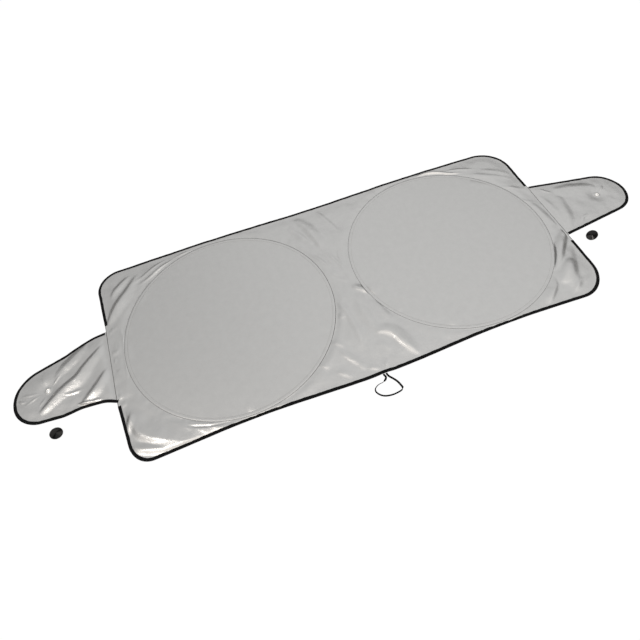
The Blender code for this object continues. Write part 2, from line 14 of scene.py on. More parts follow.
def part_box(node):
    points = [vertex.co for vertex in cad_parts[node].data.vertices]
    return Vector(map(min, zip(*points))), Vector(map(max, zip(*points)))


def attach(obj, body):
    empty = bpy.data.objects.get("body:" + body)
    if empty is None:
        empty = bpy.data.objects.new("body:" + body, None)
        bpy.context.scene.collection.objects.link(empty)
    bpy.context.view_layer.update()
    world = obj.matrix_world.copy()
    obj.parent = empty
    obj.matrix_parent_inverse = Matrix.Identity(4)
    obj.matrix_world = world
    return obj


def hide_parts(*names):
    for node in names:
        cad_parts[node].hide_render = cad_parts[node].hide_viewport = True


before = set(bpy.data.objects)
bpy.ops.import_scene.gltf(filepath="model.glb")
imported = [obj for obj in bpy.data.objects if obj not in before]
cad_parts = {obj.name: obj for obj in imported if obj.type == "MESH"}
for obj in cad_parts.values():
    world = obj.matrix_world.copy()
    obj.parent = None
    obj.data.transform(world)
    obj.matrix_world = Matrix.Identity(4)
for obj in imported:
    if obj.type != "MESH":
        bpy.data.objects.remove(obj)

bl_info = {
    "name": "Windscreen Frost Cover",
    "version": (1, 0, 0),
    "blender": (4, 5, 0),
    "location": "3D View > Sidebar > Frost Cover",
    "description": "Builds a silver windscreen cover with its hoops, ears, eyelets and suction cups",
    "category": "Mesh",
}

MM = 0.001
SIDES = ((-1, "left"), (1, "right"))

# Plan of the cover
EYELET_FROM_TIP = 0.103
SEAM_COVER = 0.003          # how far the panel covers an ear's seam beyond its ends
BARE_HEM = 0.025            # hem without binding beside an ear
BARE_HEM_FAR_RIGHT = 0.006
EDGE_STEP = 0.004
PANEL_LOOP_POINTS = 420
EAR_LOOP_POINTS = 260
EDGE_FADE = 8               # power by which the waves of the edges fade inwards
PINCH = 0.002               # how far the elastic pulls the near edge in
PINCH_X = -0.0085
PINCH_SEAT = 0.010
PINCH_SHOULDER = 0.006
PINCH_REACH = 0.020
SIDE_BOW = 0.009            # how far the left edge bows out below the ear
SIDE_BOW_AT = (-0.310, -0.158, 0.130)
LEFT_SIDE = -0.6

# Shape of the cloth
GRAIN_CELLS = 97
DRUM_RISE = 1.4 * MM        # height of the taut discs, which falls off round the hoops
DRUM_FALL = 0.045
WIRE_CREST = 0.3 * MM
SLACK_REACH = 0.030
EDGE_REACH = 0.045
ROW_REACH = 0.004
FREE_REACH = 0.020
PANEL_LOFT = 1.5 * MM
EAR_LOFT = 1.8 * MM
GATHER_OUTSIDE, GATHER_INSIDE = 0.7 * MM, 0.2 * MM
SEAM_PUCKER = 0.7 * MM
SEAM_LAP_RISE = 0.7 * MM
SEAM_LAP_REACH = 0.040
EYELET_FLAT = 0.008
EYELET_LAND = 0.9 * MM
EYELET_HOLE = 0.0047
EYELET_RINGS = (EYELET_HOLE, 0.0062, 0.0078, 0.0095, 0.0115, 0.014, 0.017, 0.0205, 0.0245, 0.029, 0.034)
CHANNEL_REACH = 1.8         # the panel's mesh is finest this many half channels from a wire
CHANNEL_RINGS = (-1.8, -1.5, -1.2, -1.0, -0.8, -0.55, -0.3, 0.0, 0.3, 0.55, 0.8, 1.0, 1.2, 1.5, 1.8)
DISC_RINGS, FIELD_RINGS, EAR_RINGS = 12, 30, 36
EDGE_COLUMNS, MIDDLE_COLUMNS = 288, 96

# Binding
TAPE_TOP = 0.0011           # from the underside of the cloth to the top of the tape
TAPE_WIDER = (0.28, 0.06)   # share by which it lies wider along the near and the far edge
TAPE_PULL = 0.5 * MM
TAPE_SWELL = 0.25 * MM
EAR_TAPE_START = 0.0022     # an ear's tape starts at its first edge point this far from the panel

# Stitches
STITCH_LIFT = 0.0001
STITCH_HALF_HEIGHT = 0.00025
HOOP_STITCHES = 2.4         # metres of stitches round a hoop of 2.1 m, so that they overlap
OVERSEWING = 0.0013         # from one stitch of a side edge to the next
OVERSEWING_INSET = 0.0006

# The camera was fitted to the photograph, whose side is 640 pixels
CAMERA_AZIMUTH = math.radians(-12.13)
CAMERA_ELEVATION = math.radians(59.91)
CAMERA_ROLL = math.radians(-9.05)
CAMERA_TARGET = Vector((-0.1214, -0.1169, 0))
CAMERA_DISTANCE = 1.2298
FOCAL_LENGTH = 391.6 / 640
SENSOR = 36

FLOOR_SIZE = 60
FLOOR_DROP = 0.0004         # the floor lies just under the cover, so that the two don't touch

# Folds of the panel in millimetres on the plan: half width, height, crispness, places. A pair
# of half widths is for the left and the right of the way that the places run. A crisp fold has
# a creased crest, and a height below nought is a valley.
PANEL_FOLDS = [
    # Far left corner
    ((18, 36), 6.5, 0.6, [(-776, 128), (-762, 150), (-733, 196), (-690, 250), (-656, 300)]),
    ((13, 18), 4.5, 0.6, [(-752, 232), (-738, 256), (-714, 280), (-684, 306)]),
    ((8, 12), 2.6, 0.5, [(-670, 176), (-656, 198), (-640, 216)]),
    (7, 2.6, 0.6, [(-674, 243), (-614, 270), (-568, 300), (-522, 319)]),
    (7, 2.0, 0.6, [(-684, 262), (-632, 286), (-584, 314), (-548, 328)]),
    (6, 1.4, 0.5, [(-520, 322), (-482, 330), (-448, 334)]),
    ((8, 14), 2.2, 0.4, [(-734, 96), (-722, 40), (-722, -30), (-728, -90)]),
    # Left seam
    (5, 2.4, 0.6, [(-778, 92), (-764, 100), (-744, 108)]),
    (4, 2.2, 0.7, [(-774, 46), (-764, 44), (-750, 38)]),
    (5, 2.4, 0.6, [(-772, 24), (-760, 16), (-742, 20)]),
    (4, 2.2, 0.6, [(-770, -18), (-760, -12), (-746, -4)]),
    (5, 1.8, 0.5, [(-768, -66), (-756, -58), (-740, -48)]),
    (4, 2.6, 0.7, [(-770, -126), (-760, -121), (-746, -116)]),
    (4, 2.6, 0.7, [(-768, -142), (-758, -137), (-744, -130)]),
    (6, 2.2, 0.5, [(-764, -176), (-752, -168), (-738, -158)]),
    # Near left corner
    ((62, 20), 7.0, 0.7, [(-742, -188), (-729, -225), (-713, -264), (-687, -287), (-647, -311), (-602, -331),
                          (-566, -345), (-544, -354)]),
    ((19, 17), 5.0, 0.6, [(-752, -284), (-733, -301), (-707, -315), (-668, -328), (-626, -337),
                          (-594, -341)]),
    ((20, 9), 4.0, 0.7, [(-728, -198), (-733, -215), (-743, -232), (-750, -250), (-752, -266)]),
    ((16, 5), 0.9, 0.7, [(-588, -298), (-572, -310), (-556, -338)]),
    ((14, 5), 0.9, 0.7, [(-562, -308), (-544, -324), (-526, -340)]),
    ((14, 5), 0.8, 0.7, [(-530, -312), (-514, -322), (-496, -336)]),
    ((16, 6), 2.0, 0.7, [(-620, -268), (-592, -286), (-566, -298), (-538, -308), (-510, -316),
                         (-480, -322)]),
    ((5, 36), 2.2, 0.6, [(-627, -270), (-611, -276), (-579, -301), (-549, -315), (-512, -326),
                         (-470, -330)]),
    (5, 1.2, 0.5, [(-652, -236), (-628, -248), (-606, -246), (-588, -238)]),
    (4, 1.4, 0.6, [(-420, -306), (-402, -318), (-386, -326)]),
    # Between the hoops
    ((34, 22), 4.5, 0.3, [(-64, 318), (-38, 262), (-24, 196), (-18, 150)]),
    ((16, 24), 2.6, 0.3, [(-96, 290), (-66, 226), (-36, 166)]),
    ((12, 20), 2.4, 0.3, [(24, 326), (44, 262), (66, 204)]),
    (8, 1.6, 0.4, [(-66, 146), (-38, 100), (-20, 56)]),
    (8, 1.6, 0.4, [(-46, 150), (-20, 106), (0, 60)]),
    (9, 1.8, 0.4, [(-24, 150), (2, 96), (22, 40)]),
    (7, 1.4, 0.5, [(32, 122), (24, 92), (30, 62)]),
    ((18, 7), 2.4, 0.6, [(-22, 14), (-4, -2), (16, -18)]),
    ((18, 7), 1.6, 0.6, [(-30, 44), (-12, 26), (6, 14)]),
    ((26, 13), 5.2, 0.7, [(18, -40), (38, -58), (58, -76), (74, -100)]),
    ((24, 30), 2.8, 0.2, [(38, -70), (22, -100), (12, -132), (20, -178), (28, -222)]),
    ((20, 20), 1.8, 0.2, [(62, -112), (70, -152), (84, -202)]),
    ((36, 17), 7.2, 0.8, [(20, -224), (46, -228), (68, -246), (82, -280), (108, -336)]),
    ((16, 9), 1.6, 0.4, [(0, -262), (22, -272), (40, -292)]),
    ((16, 6), 2.4, 0.7, [(-66, -126), (-54, -134), (-42, -138)]),
    ((18, 7), 2.4, 0.6, [(-118, -206), (-100, -218), (-86, -236)]),
    ((22, 10), 3.4, 0.6, [(-104, -244), (-84, -274), (-66, -300), (-56, -326)]),
    ((16, 6), 2.0, 0.6, [(-180, -258), (-166, -268), (-152, -284)]),
    ((18, 7), 2.4, 0.7, [(-136, -300), (-114, -318), (-100, -334)]),
    ((14, 7), 2.2, 0.6, [(-46, -322), (-28, -330), (-16, -338)]),
    (6, 2.8, 0.6, [(18, -320), (6, -330), (0, -338)]),
    ((20, 16), 2.2, 0.2, [(-52, -60), (-36, -120), (-28, -190), (-34, -262)]),
    (6, 1.6, 0.5, [(52, 12), (46, -18), (58, -40)]),
    # Round the right hoop
    ((8, 10), 5.0, 0.7, [(432, 338), (480, 336), (524, 322), (558, 300), (604, 284)]),
    ((8, 12), 2.2, 0.5, [(556, 318), (606, 300), (650, 282)]),
    ((14, 18), 1.8, 0.3, [(590, 276), (640, 248), (696, 216), (752, 178)]),
    ((10, 12), 1.4, 0.4, [(604, 236), (640, 210), (676, 176)]),
    ((14, 18), 1.6, 0.3, [(664, 268), (716, 236), (762, 198)]),
    (7, 1.8, 0.5, [(690, 160), (730, 132), (764, 112)]),
    (6, 1.6, 0.5, [(716, 72), (740, 52), (766, 42)]),
    ((20, 20), 1.6, 0.2, [(734, 60), (740, 10), (748, -40), (758, -82)]),
    ((20, 31), 8.5, 0.1, [(774, -102), (750, -124), (724, -148), (697, -175), (670, -204), (640, -238)]),
    ((26, 38), 4.2, 0.1, [(742, -174), (710, -208), (686, -248), (666, -296), (658, -330)]),
    ((12, 26), 4.5, 0.6, [(618, -258), (604, -282), (578, -306), (548, -334)]),
    ((34, 27), 6.0, 0.1, [(706, -218), (662, -254), (628, -286)]),
    ((12, 10), 2.6, 0.4, [(716, -292), (676, -302), (634, -330)]),
    (7, 2.0, 0.5, [(564, -282), (536, -296), (508, -312)]),
    (9, 1.8, 0.4, [(92, -170), (150, -196), (214, -252), (262, -306)]),
    (5, 1.2, 0.5, [(232, -262), (262, -276), (292, -286)]),
]

# Folds of the ears, in the same way
EAR_FOLDS = {
    "left": [
        ((36, 18), 7.0, 0.5, [(-792, 62), (-850, 4), (-874, -24), (-913, -44), (-944, -66),
                              (-990, -102)]),
        ((26, 16), 6.0, 0.5, [(-782, -26), (-808, -64), (-837, -96), (-870, -120)]),
        ((26, 22), 4.0, 0.4, [(-842, 84), (-880, 52), (-916, 24), (-944, -2)]),
        ((8, 6), 4.0, 0.6, [(-880, -112), (-846, -120), (-806, -122)]),
        ((8, 6), 2.6, 0.6, [(-912, -70), (-886, -72), (-862, -68)]),
        (6, 0.9, 0.4, [(-1046, -26), (-1020, -30), (-990, -34)]),
        (5, 0.8, 0.4, [(-1034, -60), (-1010, -50), (-988, -42)]),
        (6, 0.9, 0.4, [(-950, -20), (-938, -8), (-926, 4)]),
        (6, 0.8, 0.4, [(-984, 16), (-974, 0), (-968, -14)]),
        (6, 0.8, 0.4, [(-972, -54), (-980, -66), (-992, -78)]),
        (5, 2.0, 0.7, [(-1052, -36), (-1042, -44), (-1030, -48)]),
        (7, 1.4, 0.6, [(-856, 74), (-848, 58), (-846, 44)]),
    ],
    "right": [
        ((26, 64), 3.8, 0.3, [(844, 66), (886, 56), (934, 40), (986, 22)]),
        ((24, 40), 3.2, 0.3, [(842, 34), (832, 0), (816, -56), (790, -104)]),
        ((16, 20), 2.4, 0.4, [(784, 66), (790, 22), (790, -30), (784, -86)]),
        (7, 1.8, 0.5, [(806, 92), (816, 72), (832, 58)]),
        (5, 1.6, 0.5, [(980, -8), (996, 2), (1010, 14)]),
        (7, 1.6, 0.5, [(842, -98), (858, -84), (878, -78)]),
    ],
}

# Route of the elastic band from the middle of its seat, in millimetres: x, y and tilt,
# where a tilt of 1 lies flat and one of 0 stands on edge. On edge it leans in a little.
LEAN = -0.3
BAND_ROUTE = [
    (-4.3, 0, 1), (-4.3, -4, 1), (-2.4, -10, 1), (-5.3, -16, 1), (-11, -20, 0.5), (-18, -23, LEAN),
    (-32, -25, LEAN), (-43, -31, LEAN), (-47, -39, LEAN), (-44, -48, LEAN), (-36, -57, LEAN),
    (-24, -63, LEAN), (-6, -66, LEAN), (11.5, -65, LEAN), (23.5, -62, LEAN), (27.5, -57, 0.5),
    (27, -49, 1), (22, -34, 1),
    (14.5, -22, 1), (7, -12, 1), (4.3, -4, 1), (4.3, 0, 1),
]


def linear(code):
    """Turn an sRGB hex value such as c8c8c6 into linear red, green and blue."""
    parts = [int(code[i:i + 2], 16) / 255 for i in (0, 2, 4)]
    return tuple(p / 12.92 if p <= 0.04045 else ((p + 0.055) / 1.055) ** 2.4 for p in parts)


def size(name, description, default, unit="LENGTH"):
    """A size that a user may change, in metres, or in radians for a rotation."""
    return FloatProperty(name=name, description=description, default=default, unit=unit, precision=4)


def colour(name, description, code):
    """A colour that a user may change."""
    return FloatVectorProperty(name=name, description=description, subtype="COLOR",
                               default=linear(code), min=0.0, max=1.0)


class FrostCoverSizes(bpy.types.PropertyGroup):
    """Sizes of the cover"""
    panel_depth: size("Panel depth", "From the near edge to the far edge", 0.700)
    lean_left: size("Left lean", "Lean of the left edge", math.radians(4.9), "ROTATION")
    lean_right: size("Right lean", "Lean of the right edge", math.radians(2.5), "ROTATION")
    radius_far_left: size("Far left radius", "Rounding of that corner", 0.075)
    radius_far_right: size("Far right radius", "Rounding of that corner", 0.105)
    radius_near_left: size("Near left radius", "Rounding of that corner", 0.065)
    radius_near_right: size("Near right radius", "Rounding of that corner", 0.100)
    near_wave: size("Near wave", "How far the near edge waves", 0.006)
    far_wave: size("Far wave", "How far the far edge waves", 0.003)
    binding_width: size("Binding width", "Width of the folded binding", 0.007)
    hoop_stretch: size("Hoop stretch", "How much wider than deep a hoop is", 0.016)
    hoop_side_gap: size("Hoop side gap", "From a hoop to the panel's side", 0.0465)
    hoop_middle_gap: size("Hoop middle gap", "Between the two hoops", 0.103)
    channel_tape: size("Channel tape", "Width of the tape behind a hoop", 0.016)
    stitch_spacing: size("Stitch rows", "Between the two rows beside a hoop", 0.010)
    stitch_length: size("Stitch length", "Length of one stitch", 0.0030)
    ear_length: size("Ear length", "From the seam to the tip", 0.300)
    ear_base: size("Ear base", "Width of an ear at its seam", 0.247)
    ear_tip_radius: size("Ear tip radius", "Rounding of the tip", 0.088)
    seam_lap: size("Seam lap", "How far an ear goes under the panel", 0.006)
    cloth: size("Cloth", "Thickness of the coated cloth", 0.0003)
    lie: size("Underside", "Height at which the cloth lies on tape", 0.0007)
    band_width: size("Band width", "Width of the elastic band", 0.006)
    band_thickness: size("Band thickness", "Thickness of the elastic band", 0.001)
    cup_diameter: size("Cup diameter", "Diameter of a suction cup", 0.033)
    fold_height: FloatProperty(name="Fold height", description="Share of the folds' full height",
                               default=1.0, min=0.0, max=2.0)


class FrostCoverColours(bpy.types.PropertyGroup):
    """Colours of the cover"""
    silver: colour("Silver coating", "Aluminised coating of the cloth", "bcbcbb")
    binding: colour("Binding", "Black polyester tape", "0b0b0c")
    elastic: colour("Elastic", "Black elastic band", "0a0a0b")
    nickel: colour("Nickel", "Plating of the eyelets", "f4f2ee")
    steel: colour("Spring steel", "Wire of the hoops", "8f9094")
    rubber: colour("Suction cups", "Moulded soft plastic", "070708")
    thread: colour("Thread", "Thread of the hoops' inner rows", "8f8e8b")
    # Painted shade as well as thread: rows in this dark colour stand in for the shade lines of the creases
    # beside the hoops and of the hems at the seams
    dark_thread_and_painted_shade: colour("Dark thread", "Thread of the hoops' outer rows and of the side edges", "33312f")
    floor: colour("Floor", "Studio floor", "f2f2f2")


# Materials

def add_node(tree, kind, inputs=(), **settings):
    """Add a node with its settings, and set or link its inputs, given by name or number."""
    node = tree.nodes.new(kind)
    for key, value in settings.items():
        setattr(node, key, value)
    for key, value in dict(inputs).items():
        if isinstance(value, bpy.types.NodeSocket):
            tree.links.new(value, node.inputs[key])
        else:
            node.inputs[key].default_value = value
    return node


def new_material(name, tint, roughness, metallic=0.0, **sockets):
    """A Principled material, its node tree and its shader."""
    material = bpy.data.materials.new(name)
    material.use_nodes = True
    material.diffuse_color = (*tint, 1.0)
    tree = material.node_tree
    shader = tree.nodes["Principled BSDF"]
    shader.inputs["Base Color"].default_value = (*tint, 1.0)
    shader.inputs["Roughness"].default_value = roughness
    shader.inputs["Metallic"].default_value = metallic
    for key, value in sockets.items():
        shader.inputs[key.replace("_", " ")].default_value = value
    return material, tree, shader


def noise(tree, place, cell_mm, detail, **sockets):
    """Noise with grains of about so many millimetres."""
    sockets.update(Vector=place, Scale=1 / (cell_mm * MM), Detail=detail)
    return add_node(tree, "ShaderNodeTexNoise", sockets).outputs["Fac"]


def wave(tree, place, period_mm, direction, **sockets):
    """Bands that repeat about every so many millimetres."""
    sockets.update(Vector=place, Scale=1 / (math.pi * period_mm * MM))
    return add_node(tree, "ShaderNodeTexWave", sockets, bands_direction=direction).outputs["Fac"]


def spread(tree, value, low, high):
    """Map 0 to 1 on low to high."""
    return add_node(tree, "ShaderNodeMapRange", {"Value": value, 3: low, 4: high}).outputs["Result"]


def bump(tree, height, depth_mm, strength, **sockets):
    """Normal of a relief so many millimetres deep."""
    sockets.update(Height=height, Distance=depth_mm * MM, Strength=strength)
    return add_node(tree, "ShaderNodeBump", sockets).outputs["Normal"]


def math_node(tree, operation, *values):
    """The result of a sum or product of sockets and numbers."""
    return add_node(tree, "ShaderNodeMath", dict(enumerate(values)), operation=operation).outputs[0]


def shaded(tree, tint, value, low, high):
    """A colour made darker and lighter by a pattern."""
    return add_node(tree, "ShaderNodeVectorMath", {0: tint, "Scale": spread(tree, value, low, high)},
                    operation="SCALE").outputs["Vector"]


def coordinates(tree, kind):
    """The object's own coordinates, or its UV in metres."""
    return add_node(tree, "ShaderNodeTexCoord").outputs[kind]


def connect(tree, shader, **outputs):
    """Link patterns to the shader's sockets."""
    for key, output in outputs.items():
        tree.links.new(output, shader.inputs[key.replace("_", " ")])


def coated_taffeta(name, tint):
    """Polyester taffeta with a vapour coated aluminium face, calendered to a soft shine.

    The eye sees a satin grey that flares on creases, over a fine even crinkle.
    """
    material, tree, shader = new_material(name, tint, 0.31, 0.84)
    plan = coordinates(tree, "UV")
    # Crinkles of 4 to 20 mm, which stay where the cloth is slack
    crinkle = noise(tree, plan, 14, 4.0, Roughness=0.62, Distortion=0.6)
    slack = add_node(tree, "ShaderNodeAttribute", attribute_name="slack").outputs["Fac"]
    crinkled = bump(tree, crinkle, 1.2, spread(tree, slack, 0.06, 0.40))
    # Plain weave of 0.12 mm threads, drawn ten times as coarse so that it shows
    warp, weft = [wave(tree, plan, 1.2, direction, Distortion=0.4, Detail=1.0) for direction in ("X", "Y")]
    woven = bump(tree, math_node(tree, "MULTIPLY", warp, weft), 0.12, 0.35, Normal=crinkled)
    # The coating takes up a little unevenly, over 24 mm
    patches = noise(tree, plan, 24, 8.0, Roughness=0.78)
    connect(tree, shader, Base_Color=shaded(tree, tint, patches, 0.90, 1.09),
            Roughness=spread(tree, patches, 0.28, 0.34), Normal=woven)
    return material


def woven_tape(name, tint, rib_mm, lengthwise):
    """Black polyester tape or elastic, woven with ribs.

    The eye sees a dull, slightly fuzzy black that hardly shines.
    """
    material, tree, shader = new_material(name, tint, 0.88, Specular_IOR_Level=0.12)
    plan = coordinates(tree, "UV")
    ribs = wave(tree, plan, rib_mm, "Y" if lengthwise else "X", Distortion=0.5, Detail=1.0)
    fuzz = noise(tree, plan, 0.8, 3.0)
    connect(tree, shader, Base_Color=shaded(tree, tint, fuzz, 0.7, 1.5),
            Normal=bump(tree, fuzz, 0.1, 0.4, Normal=bump(tree, ribs, 0.2, 0.6)))
    return material


def worn_metal(name, tint, roughness, grain_mm):
    """Plated or drawn metal.

    The eye sees a bright gleam that fine handling marks dull here and there.
    """
    material, tree, shader = new_material(name, tint, roughness, 1.0)
    marks = noise(tree, coordinates(tree, "Object"), grain_mm, 5.0)
    connect(tree, shader, Roughness=spread(tree, marks, roughness * 0.7, roughness * 1.5),
            Normal=bump(tree, marks, 0.02, 0.3))
    return material


def moulded_vinyl(name, tint):
    """Soft black vinyl from a polished mould.

    The eye sees wet looking black with faint flow marks in its glints.
    """
    material, tree, shader = new_material(name, tint, 0.20, Specular_IOR_Level=0.25)
    flow = noise(tree, coordinates(tree, "Object"), 6, 2.0)
    connect(tree, shader, Roughness=spread(tree, flow, 0.14, 0.26), Normal=bump(tree, flow, 0.15, 0.3))
    return material


def spun_thread(name, tint):
    """Spun polyester sewing thread.

    The eye sees a dull fine line, with the twist as slanted bands close up.
    """
    material, tree, shader = new_material(name, tint, 0.6)
    twist = wave(tree, coordinates(tree, "Object"), 0.6, "DIAGONAL")
    connect(tree, shader, Normal=bump(tree, twist, 0.1, 0.5))
    return material


def studio_white(name, tint):
    """Matt white studio floor. The camera sees it white, with the cover's soft shadow kept."""
    material, tree, shader = new_material(name, tint, 0.9)
    path = add_node(tree, "ShaderNodeLightPath").outputs["Is Camera Ray"]
    glow = add_node(tree, "ShaderNodeEmission", {"Color": (1, 1, 1, 1), "Strength": 1.02}).outputs[0]
    mix = add_node(tree, "ShaderNodeMixShader", {0: math_node(tree, "MULTIPLY", path, 0.93),
                                                 1: shader.outputs[0], 2: glow})
    tree.links.new(mix.outputs[0], tree.nodes["Material Output"].inputs["Surface"])
    return material


def cover_material(maker, name, *settings):
    """A material of the cover, made once."""
    return bpy.data.materials.get(name) or maker(name, *settings)


# Plan of the cover

def eyelet_place(side):
    """Middle of an ear's eyelet on the plan."""
    low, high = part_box("eyelet_left" if side < 0 else "eyelet_right")
    return (low[0] + high[0]) / 2, (low[1] + high[1]) / 2


def from_ear(sizes, side, along, across):
    """Place on the plan of a point given in an ear's own frame."""
    turn = math.pi + sizes.lean_left if side < 0 else -sizes.lean_right
    out = Vector((math.cos(turn), math.sin(turn)))
    seam = Vector(eyelet_place(side)) - out * (sizes.ear_length - EYELET_FROM_TIP)
    return seam + out * along + Vector((-out.y, out.x)) * across


def hoop_shape(sizes):
    """Half depth, half width and middle of a hoop."""
    half_depth = (sizes.panel_depth / 2 - sizes.near_wave - sizes.binding_width - 0.001
                  - sizes.channel_tape / 2)
    half_width = half_depth + sizes.hoop_stretch / 2
    return half_depth, half_width, sizes.hoop_middle_gap / 2 + half_width


def side_point(sizes, side, y):
    """Point of the panel's left or right edge, before its corners are rounded."""
    _, half_width, middle = hoop_shape(sizes)
    lean = sizes.lean_left if side < 0 else sizes.lean_right
    return Vector((side * (middle + half_width + sizes.hoop_side_gap + math.tan(lean) * y), y))


def lay(sizes, point):
    """Wave the near and far edges, pinch the near edge at the elastic, and bow the left edge."""
    middle = hoop_shape(sizes)[2]
    wave = math.cos(math.pi * point.x / middle)
    if point.y < 0:
        away = point.x - PINCH_X
        ease = math.exp(-((abs(away) - PINCH_SHOULDER) / PINCH_REACH) ** 2)
        pinch = PINCH * (1.0 if abs(away) < PINCH_SEAT else ease)
        outward = sizes.near_wave * wave - pinch
    else:
        outward = -sizes.far_wave * wave
    share = (abs(point.y) / (sizes.panel_depth / 2)) ** EDGE_FADE
    bow = SIDE_BOW * float(np.interp(point.y, SIDE_BOW_AT, (0, 1, 0))) if point.x < LEFT_SIDE else 0
    return Vector((point.x - bow, point.y + math.copysign(share, point.y) * outward))


def spaced(start, end, step):
    """Points from start up to, but not at, end."""
    count = max(1, math.ceil((end - start).length / step))
    return [start.lerp(end, i / count) for i in range(count)]


def rounded_corner(before, corner, after, radius):
    """Points of the arc that rounds a corner of a counter-clockwise outline."""
    back, forth = (before - corner).normalized(), (after - corner).normalized()
    half = back.angle(forth) / 2
    centre = corner + (back + forth).normalized() * radius / math.sin(half)
    first = corner + back * radius / math.tan(half) - centre
    turn = math.pi - 2 * half
    count = math.ceil(turn * radius / EDGE_STEP)
    return [centre + Matrix.Rotation(turn * i / count, 2) @ first for i in range(count + 1)]


def panel_stretches(sizes):
    """The panel's edge, counter-clockwise: near, right seam, far and left seam stretches."""
    half = sizes.panel_depth / 2
    near_left, near_right = side_point(sizes, -1, -half), side_point(sizes, 1, -half)
    far_right, far_left = side_point(sizes, 1, half), side_point(sizes, -1, half)
    hem = sizes.ear_base / 2 + BARE_HEM
    far_right_hem = sizes.ear_base / 2 + BARE_HEM_FAR_RIGHT
    seam = sizes.ear_base / 2 + SEAM_COVER

    def bound(start, first_corner, second_corner, end):
        first, second = rounded_corner(*first_corner), rounded_corner(*second_corner)
        points = (spaced(start, first[0], EDGE_STEP) + first + spaced(first[-1], second[0], EDGE_STEP)[1:]
                  + second + spaced(second[-1], end, EDGE_STEP)[1:] + [end])
        return [lay(sizes, p) for p in points]

    near = bound(from_ear(sizes, -1, 0, hem),
                 (far_left, near_left, near_right, sizes.radius_near_left),
                 (near_left, near_right, far_right, sizes.radius_near_right),
                 from_ear(sizes, 1, 0, -hem))
    far = bound(from_ear(sizes, 1, 0, far_right_hem),
                (near_right, far_right, far_left, sizes.radius_far_right),
                (far_right, far_left, near_left, sizes.radius_far_left),
                from_ear(sizes, -1, 0, -hem))
    seams = []
    for side in (1, -1):
        start, end = from_ear(sizes, side, 0, -seam), from_ear(sizes, side, 0, seam)
        seams.append([lay(sizes, p) for p in spaced(start, end, EDGE_STEP) + [end]])
    return near, seams[0], far, seams[1]


def panel_outline(sizes):
    """The panel's whole outline, and the same as a closed loop of even stations."""
    outline = np.array([tuple(point) for stretch in panel_stretches(sizes) for point in stretch])
    return outline, closed_loop(outline, PANEL_LOOP_POINTS)


def ear_outline(sizes, side):
    """Outline of an ear on the plan: lower side, tip and upper side."""
    half, radius = sizes.ear_base / 2, sizes.ear_tip_radius
    middle = Vector((sizes.ear_length - radius, 0))
    to_middle = middle - Vector((0, -half))
    taper = math.atan2(to_middle.y, to_middle.x) - math.asin(radius / to_middle.length)
    along = Vector((math.cos(taper), math.sin(taper)))
    touch = middle + Vector((along.y, -along.x)) * radius
    start = Vector((0, -half)) - along * sizes.seam_lap / along.x
    turn = math.pi - 2 * taper
    count = math.ceil(turn * radius / EDGE_STEP)
    tip = [middle + Matrix.Rotation(turn * i / count, 2) @ (touch - middle) for i in range(count + 1)]
    lower = spaced(start, touch, EDGE_STEP)
    points = lower + tip + [Vector((p.x, -p.y)) for p in reversed(lower)]
    if side < 0:
        points = [Vector((p.x, p.y + ear_sway(p.x, p.y / half))) for p in points]
    return [from_ear(sizes, side, p.x, p.y) for p in points]


def ear_sway(along, across):
    """How far the left ear's edges lie off their cut shape.

    It flares at the seam, and its tip sags nearer.
    """
    flare_near, flare_far = math.exp(-(along / 0.028) ** 2), math.exp(-((along - 0.050) / 0.040) ** 2)
    tip = ramp(along, 0.22, 0.30)
    near = (13 * flare_near + 10 * ramp(along, 0.10, 0.17) - 3 * tip) * MM
    far = (6 * flare_far - 5 * ramp(along, 0.10, 0.14) - 2 * tip) * MM
    share = min(max(across, -1), 1) / 2 + 0.5
    return float(near * share - far * (1 - share))


def resample(points, count, closed=False):
    """Even stations along a line of points, without the last if it is closed."""
    points = np.array([tuple(p) for p in points])
    if closed:
        points = np.vstack([points, points[:1]])
    along = np.concatenate([[0], np.cumsum(np.linalg.norm(np.diff(points, axis=0), axis=1))])
    stations = np.linspace(0, along[-1], count + 1)[:count + (not closed)]
    return np.stack([np.interp(stations, along, points[:, i]) for i in range(points.shape[1])], axis=1)


def closed_loop(points, count):
    """Even stations round a closed line, with the first one again at the end."""
    loop = resample(points, count, closed=True)
    return np.vstack([loop, loop[:1]])


def smooth_through(points, steps):
    """Points of a smooth curve through the given ones."""
    points = [np.array(p, float) for p in points]
    padded = [points[0] * 2 - points[1]] + points + [points[-1] * 2 - points[-2]]
    curve = []
    for a, b, c, d in zip(padded, padded[1:], padded[2:], padded[3:]):
        for i in range(steps):
            t = i / steps
            curve.append((2 * b + (c - a) * t + (2 * a - 5 * b + 4 * c - d) * t ** 2
                          + (3 * b - a - 3 * c + d) * t ** 3) / 2)
    return np.array(curve + [points[-1]])


# Shape of the cloth

def ramp(value, low, high):
    """Ease from 0 at low to 1 at high."""
    share = np.clip((value - low) / (high - low), 0, 1)
    return share * share * (3 - 2 * share)


def grain(x, y, cell, seed):
    """Smooth noise from -1 to 1 that changes over a distance of one cell."""
    values = np.random.default_rng(seed).uniform(-1, 1, (GRAIN_CELLS, GRAIN_CELLS))
    gx, gy = x / cell + 1000, y / cell + 1000
    ix, iy = np.floor(gx).astype(int), np.floor(gy).astype(int)
    fx, fy = ramp(gx - ix, 0, 1), ramp(gy - iy, 0, 1)

    def corner(i, j):
        return values[(ix + i) % GRAIN_CELLS, (iy + j) % GRAIN_CELLS]

    near = corner(0, 0) * (1 - fx) + corner(1, 0) * fx
    far = corner(0, 1) * (1 - fx) + corner(1, 1) * fx
    return near * (1 - fy) + far * fy


